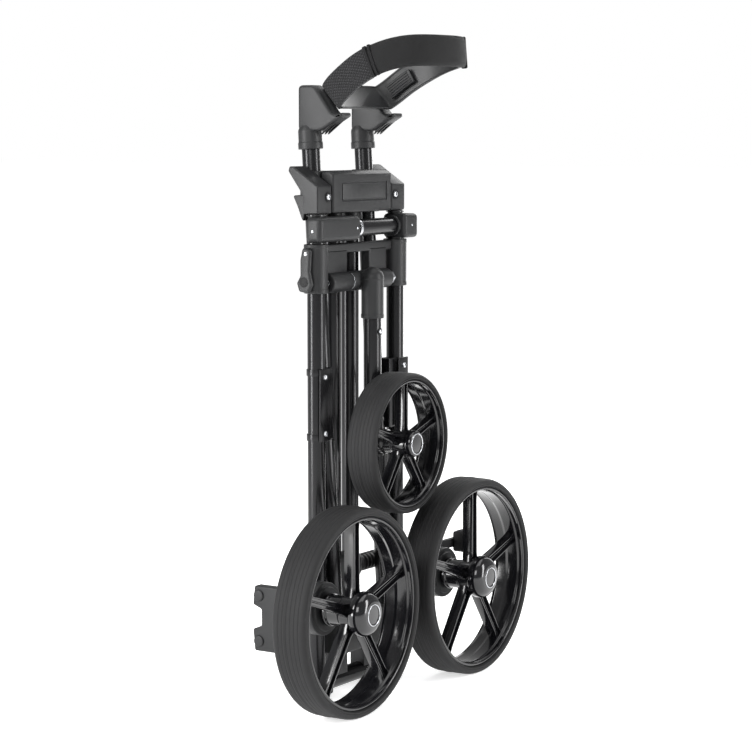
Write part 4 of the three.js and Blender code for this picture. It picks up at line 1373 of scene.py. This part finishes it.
def loop_plan(sizes, heel):
    """Dense points of a closed centripetal spline through five places a side, seen from above. The second
    number is the distance in front of the ring's back."""
    w, d = sizes.half_width, sizes.depth
    left = np.array(
        [(heel, 0), (-0.98 * w, 0.26 * d), (-w, 0.55 * d), (-0.8 * w, 0.88 * d), (-0.36 * w, 0.99 * d)]
    )
    knots = np.vstack([left, left[::-1] * (-1, 1)])
    a, b, c, e = (np.roll(knots, k, 0) for k in (1, 0, -1, -2))
    gap = [np.sqrt(np.linalg.norm(q - p, axis=1))[:, None] for p, q in ((a, b), (b, c), (c, e))]
    into = ((b - a) / gap[0] - (c - a) / (gap[0] + gap[1]) + (c - b) / gap[1]) * gap[1]
    out = ((c - b) / gap[1] - (e - b) / (gap[1] + gap[2]) + (e - c) / gap[2]) * gap[1]
    t = np.linspace(0, 1, 60, endpoint=False)[None, :, None]
    b, c, into, out = b[:, None], c[:, None], into[:, None], out[:, None]
    curve = b + into * t + (-3 * b + 3 * c - 2 * into - out) * t**2 + (2 * b - 2 * c + into + out) * t**3
    line = curve.reshape(-1, 2)
    return np.vstack([line, line[:1]])


def loop_frames(sizes, start, end, steps):
    """Places on the loop between two shares of its length, with outward and upward directions. Height is
    back + rise u (2 - u), where u is the share of the way to the front."""
    leg, mast = middle("leg_tube_left"), middle("mast_tube_left")
    back = leg[1] - 2 * MM
    plan = loop_plan(sizes, mast[0] + 1.4 * MM)
    along = distance_along(plan)
    share = np.linspace(start, end, steps)

    def at(s):
        s = np.mod(s, 1.0) * along[-1]
        return np.stack([np.interp(s, along, plan[:, 0]), np.interp(s, along, plan[:, 1])], 1)

    here, step = at(share), 1e-3
    ahead = at(share + step) - at(share - step)
    ahead /= np.linalg.norm(ahead, axis=1)[:, None]
    u = np.clip(here[:, 1] / sizes.depth, 0, 1)
    slope = 2 * sizes.rise * (1 - u) / sizes.depth
    place = np.stack([here[:, 0], back - here[:, 1], sizes.back_height + sizes.rise * u * (2 - u)], 1)
    up = np.stack([0 * slope, slope, 1 + 0 * slope], 1)
    up /= np.linalg.norm(up, axis=1)[:, None]
    way = np.stack([ahead[:, 0], -ahead[:, 1], ahead[:, 1] * slope], 1)
    way /= np.linalg.norm(way, axis=1)[:, None]
    outward = np.cross(way, up)
    outward /= np.linalg.norm(outward, axis=1)[:, None]
    return place, outward, up


def band_form(sizes, start, end, section, steps=80):
    """A section of (outward, upward) pairs carried along part of the loop."""
    place, outward, up = loop_frames(sizes, start, end, steps)
    return swept(place, outward, up, section)


def puff_up(piece, limit, held):
    """Fills a closed cloth with air while some points are held, then caps how far each point moved."""
    mesh = piece.data
    rest = np.empty(len(mesh.vertices) * 3)
    mesh.vertices.foreach_get("co", rest)
    rest = rest.reshape(-1, 3)
    group = piece.vertex_groups.new(name="held")
    group.add(np.flatnonzero(held(rest)).tolist(), 1.0, "REPLACE")
    cloth = piece.modifiers.new("Padding", "CLOTH")
    cloth.settings.quality = 6
    cloth.settings.mass = 0.15
    cloth.settings.tension_stiffness = 12
    cloth.settings.compression_stiffness = 6
    cloth.settings.bending_stiffness = 0.4
    cloth.settings.use_pressure = True
    cloth.settings.uniform_pressure_force = 4
    cloth.settings.effector_weights.gravity = 0
    cloth.settings.vertex_group_mass = "held"
    for step in range(1, 21):
        bpy.context.scene.frame_set(step)
    evaluated = piece.evaluated_get(bpy.context.evaluated_depsgraph_get())
    moved = np.empty_like(rest).ravel()
    evaluated.data.vertices.foreach_get("co", moved)
    shift = moved.reshape(-1, 3) - rest
    far = np.linalg.norm(shift, axis=1)[:, None]
    shift *= np.minimum(1.0, limit / np.maximum(far, 1e-9))
    piece.modifiers.remove(cloth)
    piece.vertex_groups.remove(group)
    mesh.vertices.foreach_set("co", (rest + shift).ravel())
    mesh.update()
    bpy.context.scene.frame_set(1)


class CART_OT_bag_ring(bpy.types.Operator):
    """Build the bag ring: stiff band, elastic strap, padded sleeve and buckles"""

    bl_idname = "cart.bag_ring"
    bl_label = "Bag ring"

    def execute(self, context):
        sizes = context.scene.cart_ring
        self.liner(sizes)
        self.strap(sizes)
        self.sleeve(sizes)
        self.buckles(sizes)
        return {"FINISHED"}

    def liner(self, sizes):
        """A thin band with a rolled bead along each edge."""
        h, t = sizes.band_width / 2, 4 * MM
        inner, outer = -5 * MM, -5 * MM + t
        section = [
            (inner + 1 * MM, -h + 3 * MM), (inner, -h + 2 * MM), (inner, -h), (outer, -h),
            (outer, h), (inner, h), (inner, h - 2 * MM), (inner + 1 * MM, h - 3 * MM),
        ]
        form = band_form(sizes, 0.44, 0.995, rounded(section, 0.9 * MM, 4), 150)
        add_piece("ring_band", form, "frame", LINER, ("cradle_ring",))

    def strap(self, sizes):
        """Flat webbing with soft edges and a pale cord sewn along its lower edge."""
        h, t = sizes.band_width / 2 + 0.5 * MM, 3 * MM
        y = np.linspace(-h, h, 33)
        thick = 0.5 * t * (0.55 + 0.45 * np.sqrt(np.clip(1 - (y / h) ** 8, 0, 1)))
        ripple = 0.12 * MM * np.cos(np.arange(33) * math.pi)
        section = np.vstack(
            [np.stack([0.5 * t + thick + ripple, y], 1), np.stack([0.5 * t - thick, y], 1)[::-1]]
        )
        strap = band_form(sizes, 0.005, 0.138, section, 90)
        add_piece("ring_strap", strap, "frame", WEBBING, ("cradle_strap",))
        place, outward, up = loop_frames(sizes, 0.008, 0.138, 60)
        circle = np.linspace(0, 2 * math.pi, 12, endpoint=False)
        wire = np.stack([1.1 * MM * np.cos(circle), 1.1 * MM * np.sin(circle)], 1)
        piping = swept(place + outward * 1.5 * MM - up * h, outward, up, wire)
        add_piece("strap_piping", piping, "frame", LINER)

    def sleeve(self, sizes):
        """A crowned section: it is thickest in the middle, as sqrt(1 - (y/h)^4), then air puffs it up."""
        h, t = sizes.band_width / 2 + 0.6 * MM, 6 * MM
        y = np.sin(np.linspace(-math.pi / 2, math.pi / 2, 17)) * h
        crown = np.sqrt(np.clip(1 - (y / h) ** 4, 0, 1))
        outer, inner = np.stack([1 * MM + t * crown, y], 1), np.stack([0.6 * MM * (1 - crown), y], 1)
        section = np.vstack([outer, inner[::-1][1:-1]])
        form = band_form(sizes, 0.141, 0.5, section, 110)
        piece = add_piece("ring_sleeve", form, "frame", SLEEVE, ("cradle_pad",))
        place, outward, _ = loop_frames(sizes, 0.141, 0.5, 110)

        def held(points):
            """The inner face and the two sewn ends."""
            near = np.linalg.norm(points[:, None] - place[None], axis=2).argmin(1)
            off = ((points - place[near]) * outward[near]).sum(1)
            return (off < 1.2 * MM) | (near < 2) | (near > len(place) - 3)

        puff_up(piece, sizes.swell, held)
        clean(piece.data)
        smooth = piece.modifiers.new("Smooth cloth", "SUBSURF")
        smooth.levels = smooth.render_levels = 1
        strips = []
        for at, wide in ((0.1405, 0.006), (0.152, 0.004), (0.4945, 0.006)):
            half = h + 0.6 * MM
            face = rounded(oblong(-0.4 * MM, -half, t + 2.2 * MM, half), 2.5 * MM)
            strips.append(band_form(sizes, at, at + wide, face, 6))
        add_piece("sleeve_bindings", joined(*strips), "frame", BINDING)

    def buckles(self, sizes):
        """Two ribbed tabs on the band's inner face: one at the front corner, one along the right side."""
        low, high = -12.2 * MM, -10 * MM
        for name, start, end, nodes, upright in (
            ("front_buckle", 0.5, 0.56, ("strap_buckle",), True),
            ("rear_tab", 0.665, 0.735, (), False),
        ):
            base = rounded(oblong(-11 * MM, -10 * MM, -6 * MM, 10 * MM), 1.5 * MM, 4)
            forms = [band_form(sizes, start, end, base, 16)]
            if upright:
                rib = rounded(oblong(low, -8 * MM, high, 8 * MM), 0.8 * MM, 4)
                for s in np.linspace(start + 0.008, end - 0.008, 6):
                    forms.append(band_form(sizes, s, s + 0.003, rib, 3))
            else:
                for v in np.linspace(-7, 7, 5) * MM:
                    rib = rounded(oblong(low, v - 0.8 * MM, high, v + 0.8 * MM), 0.6 * MM, 4)
                    forms.append(band_form(sizes, start + 0.006, end - 0.006, rib, 14))
            add_piece(name, joined(*forms), "frame", FITTING, nodes)


# ---- stage ------------------------------------------------------------------------------


class CART_OT_stage(bpy.types.Operator):
    """Build the floor, lights and camera"""

    bl_idname = "cart.stage"
    bl_label = "Stage"

    def execute(self, context):
        scene = context.scene
        stage = scene.cart_stage
        tree, shader, place, _ = new_material("Pale floor")
        tone = noise(tree, place, 3.0, 2.0)
        shade = blend_colours(tree, tone, (0.93, 0.93, 0.93, 1), (0.95, 0.95, 0.95, 1))
        tree.links.new(shade, shader.inputs["Base Color"])
        shader.inputs["Roughness"].default_value = 0.9
        shader.inputs["Emission Color"].default_value = (1.0, 1.0, 1.0, 1.0)
        shader.inputs["Emission Strength"].default_value = 0.62
        mesh = bpy.data.meshes.new("floor")
        reach = 40.0
        corners = [(x, y, 0) for x, y in oblong(-reach, -reach, reach, reach)]
        mesh.from_pydata(corners, [], [(0, 1, 2, 3)])
        mesh.materials.append(bpy.data.materials["Pale floor"])
        floor = bpy.data.objects.new("floor", mesh)
        scene.collection.objects.link(floor)
        world = bpy.data.worlds.new("Soft studio")
        world.use_nodes = True
        background = world.node_tree.nodes["Background"]
        background.inputs[0].default_value = (1.0, 1.0, 1.0, 1.0)
        seen = world.node_tree.nodes.new("ShaderNodeLightPath").outputs["Is Camera Ray"]
        feed(world.node_tree, background.inputs[1], spread(world.node_tree, seen, 0.0, 1.0, 0.42, 1.0))
        scene.world = world
        scene.view_settings.view_transform = "Standard"
        self.lights(scene, stage)
        camera = bpy.data.objects.new("camera", bpy.data.cameras.new("camera"))
        camera.data.lens = stage.lens
        camera.data.sensor_width = 36.0
        camera.location = stage.place
        camera.rotation_euler = (math.pi / 2 - stage.elevation, 0, stage.azimuth)
        scene.collection.objects.link(camera)
        scene.camera = camera
        return {"FINISHED"}

    def lights(self, scene, stage):
        """Tall soft boxes beside the camera and behind the cart, and a broad one above."""
        turn = stage.azimuth
        back = np.array([math.sin(turn), -math.cos(turn), 0])
        right = np.array([math.cos(turn), math.sin(turn), 0])
        for name, place, wide, tall, power in (
            ("left_box", back * 1.1 - right * 2.0 + Z * 0.9, 0.5, 2.4, 80.0),
            ("right_box", back * 0.6 + right * 2.2 + Z * 0.9, 0.5, 2.4, 55.0),
            ("front_box", back * 3.6 - right * 0.9 + Z * 2.2, 1.6, 1.6, 60.0),
            ("rear_box", -back * 2.2 + right * 1.0 + Z * 1.2, 1.0, 2.2, 30.0),
            ("top_box", Z * 2.8, 2.4, 2.4, 40.0),
        ):
            lamp = bpy.data.lights.new(name, "AREA")
            lamp.shape = "RECTANGLE"
            lamp.size, lamp.size_y = wide, tall
            lamp.energy = power
            light = bpy.data.objects.new(name, lamp)
            light.location = place
            aim = np.array([0, 0, 0.5]) - place
            if name == "top_box":
                light.rotation_euler = (0, 0, turn)
            else:
                flat = math.hypot(aim[0], aim[1])
                light.rotation_euler = (math.atan2(flat, -aim[2]), 0, math.atan2(-aim[0], aim[1]))
            scene.collection.objects.link(light)


# ---- panel and registration -------------------------------------------------------------


class CART_OT_finishes(bpy.types.Operator):
    """Build the materials of the whole cart"""

    bl_idname = "cart.finishes"
    bl_label = "Finishes"

    def execute(self, context):
        make_finishes(context.scene.cart_colours)
        return {"FINISHED"}


STEPS = (
    CART_OT_finishes,
    CART_OT_wheels,
    CART_OT_tubes,
    CART_OT_leg_fittings,
    CART_OT_elbows,
    CART_OT_joint_head,
    CART_OT_front_arm,
    CART_OT_base,
    CART_OT_handle,
    CART_OT_levers,
    CART_OT_bag_ring,
    CART_OT_stage,
)
SETTINGS = {
    "cart_colours": CartColours,
    "cart_wheels": CartWheelSizes,
    "cart_fittings": CartFittingSizes,
    "cart_ring": CartRingSizes,
    "cart_stage": CartStageSettings,
}


class CART_PT_panel(bpy.types.Panel):
    """Steps and sizes of the push cart"""

    bl_idname = "CART_PT_panel"
    bl_label = "Folded push cart"
    bl_space_type = "VIEW_3D"
    bl_region_type = "UI"
    bl_category = "Push cart"

    def draw(self, context):
        for step in STEPS:
            self.layout.operator(step.bl_idname)
        for name, kind in SETTINGS.items():
            group = self.layout.box()
            for prop in kind.__annotations__:
                group.prop(getattr(context.scene, name), prop)


def register():
    """Makes the settings, steps and panel known to Blender."""
    for name, kind in SETTINGS.items():
        bpy.utils.register_class(kind)
        setattr(bpy.types.Scene, name, bpy.props.PointerProperty(type=kind))
    for kind in (*STEPS, CART_PT_panel):
        bpy.utils.register_class(kind)


def unregister():
    """Takes them out again."""
    for kind in (CART_PT_panel, *reversed(STEPS)):
        bpy.utils.unregister_class(kind)
    for name, kind in reversed(SETTINGS.items()):
        delattr(bpy.types.Scene, name)
        bpy.utils.unregister_class(kind)


def main():
    """Builds the whole cart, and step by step."""
    register()
    for step in STEPS:
        group, name = step.bl_idname.split(".")
        getattr(getattr(bpy.ops, group), name)()
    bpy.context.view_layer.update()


if __name__ == "__main__":
    main()
